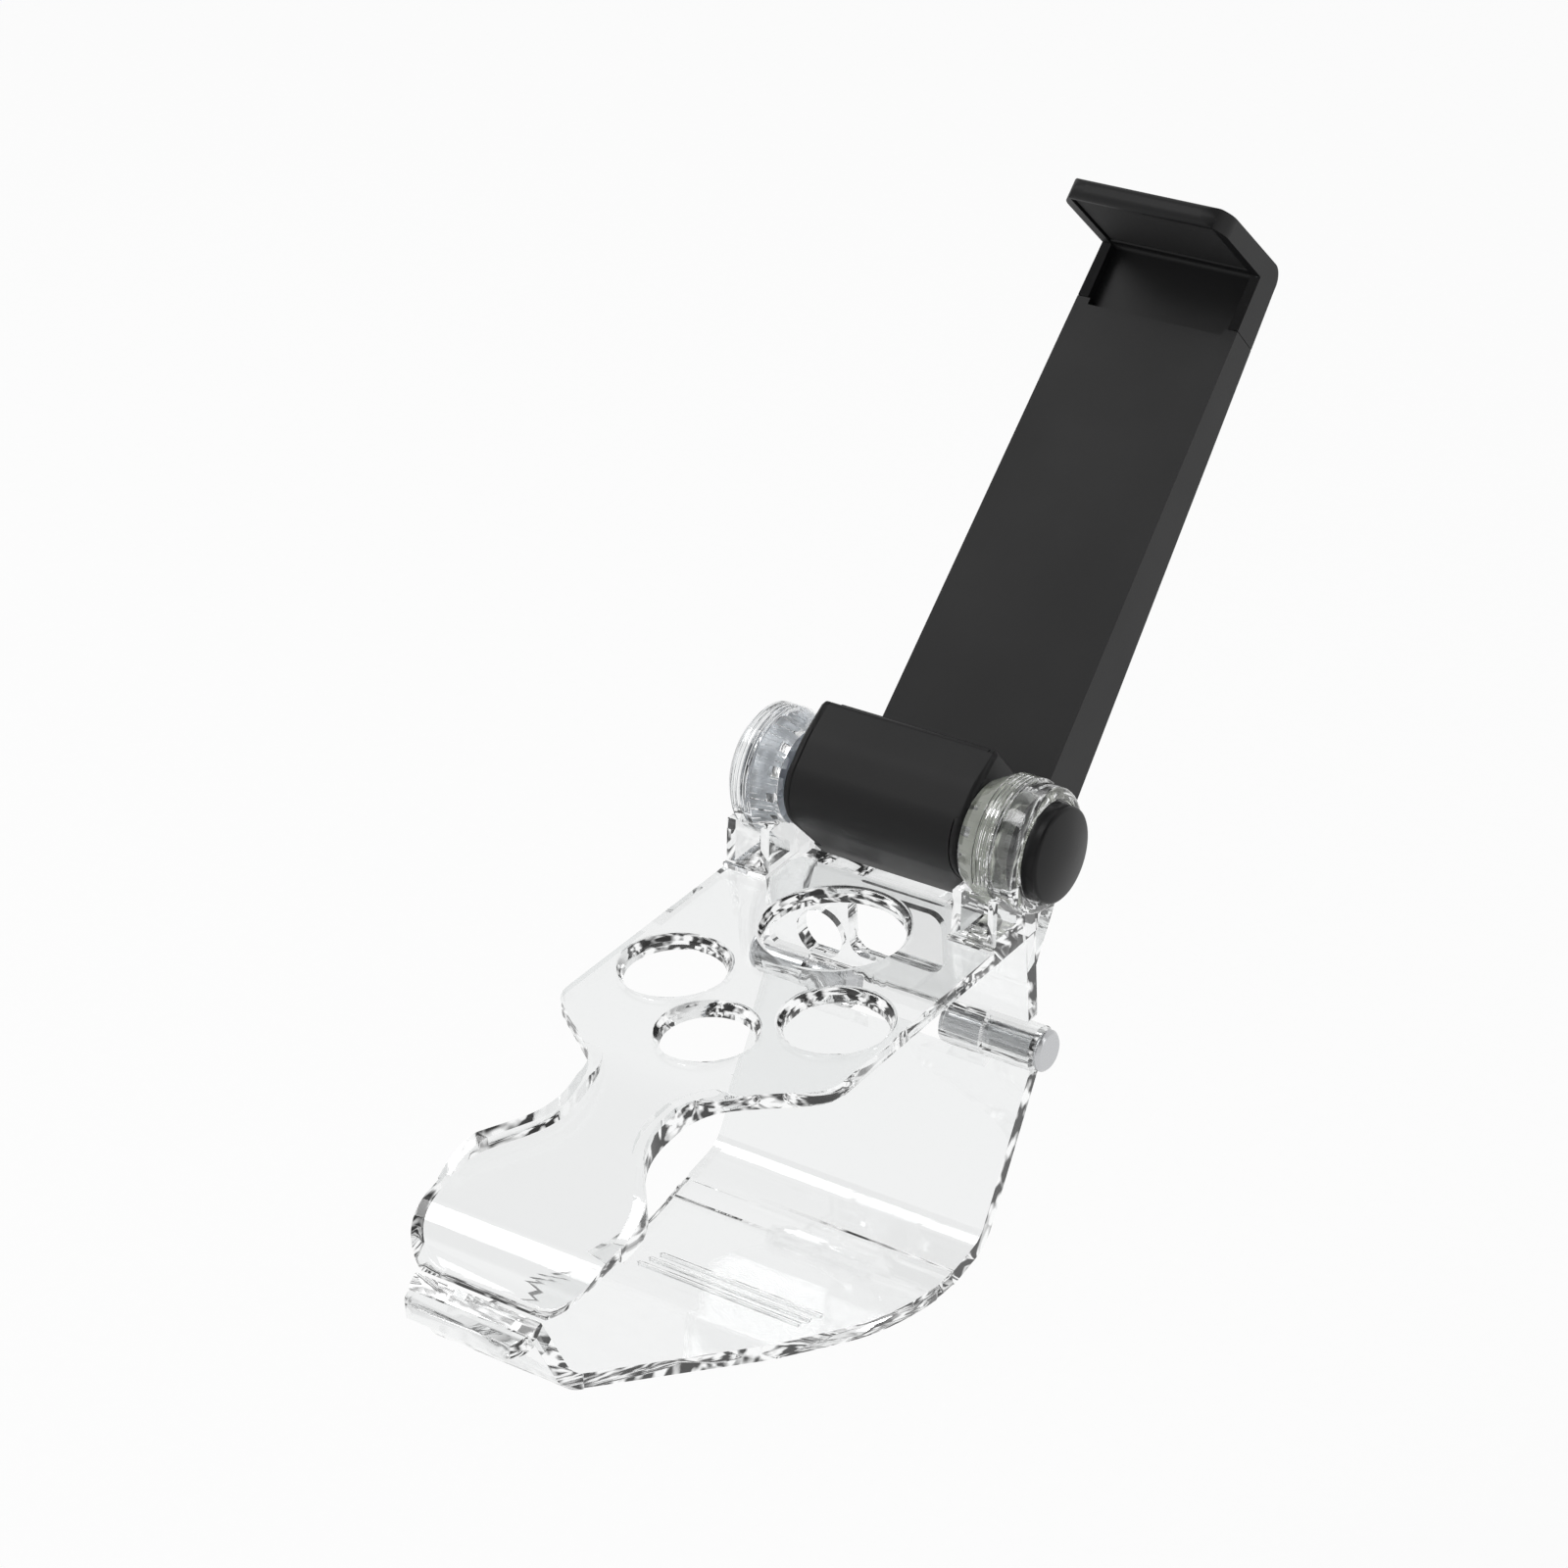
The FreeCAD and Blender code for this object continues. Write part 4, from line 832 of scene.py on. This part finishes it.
class CLIP_OT_stage(bpy.types.Operator):
    """Make the floor, lamps, world and camera"""
    bl_idname = "clip.stage"
    bl_label = "Stage"

    def execute(self, context):
        corners = np.array([(-1, -1), (1, -1), (1, 1), (-1, 1)]) * FLOOR_REACH
        points = np.column_stack([corners, np.full(4, FLOOR_Z)])
        floor = mesh_object("paper_floor", points, [[0, 1, 2, 3]])
        floor.data.materials.append(floor_paper())
        context.scene.world = studio_world()
        middle = (0, 0.02, 0.02)
        soft_box("top softbox", (-0.42, -0.12, 0.66), middle, 0.3, 0.3, 1.3)
        soft_box("left softbox", (-0.7, -0.35, 0.35), middle, 0.15, 0.5, 0.7)
        soft_box("right softbox", (0.6, 0.2, 0.3), middle, 0.1, 0.5, 0.4)
        photo_camera()
        context.scene.view_settings.view_transform = "Standard"
        return {"FINISHED"}


class CLIP_PT_sidebar(bpy.types.Panel):
    bl_label = "Phone clip"
    bl_idname = "CLIP_PT_sidebar"
    bl_space_type = "VIEW_3D"
    bl_region_type = "UI"
    bl_category = "Phone clip"

    def draw(self, context):
        for name in OPERATORS:
            self.layout.operator("clip." + name)
        for group in (context.scene.clip_sizes, context.scene.clip_colours):
            for key in group.__annotations__:
                self.layout.prop(group, key)


OPERATORS = ("clear_mouldings", "ratchet", "holder", "jaw", "pads", "button", "springs", "steel_parts",
             "stage")
CLASSES = (ClipSizes, ClipColours, CLIP_OT_clear_mouldings, CLIP_OT_ratchet, CLIP_OT_holder,
           CLIP_OT_jaw, CLIP_OT_pads, CLIP_OT_button, CLIP_OT_springs, CLIP_OT_steel_parts,
           CLIP_OT_stage, CLIP_PT_sidebar)


def register():
    for part in CLASSES:
        bpy.utils.register_class(part)
    bpy.types.Scene.clip_sizes = bpy.props.PointerProperty(type=ClipSizes)
    bpy.types.Scene.clip_colours = bpy.props.PointerProperty(type=ClipColours)


def unregister():
    del bpy.types.Scene.clip_colours
    del bpy.types.Scene.clip_sizes
    for part in reversed(CLASSES):
        bpy.utils.unregister_class(part)


def clear_start_scene():
    """Removes what Blender starts with, and keeps the frame."""
    kept = set(frame["nodes"].values()) | set(frame["bodies"].values())
    for thing in [o for o in bpy.data.objects if o not in kept]:
        bpy.data.objects.remove(thing)


def main():
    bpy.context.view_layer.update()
    register()
    for name in OPERATORS:
        getattr(bpy.ops.clip, name)()


if __name__ == "__main__":
    clear_start_scene()
    main()
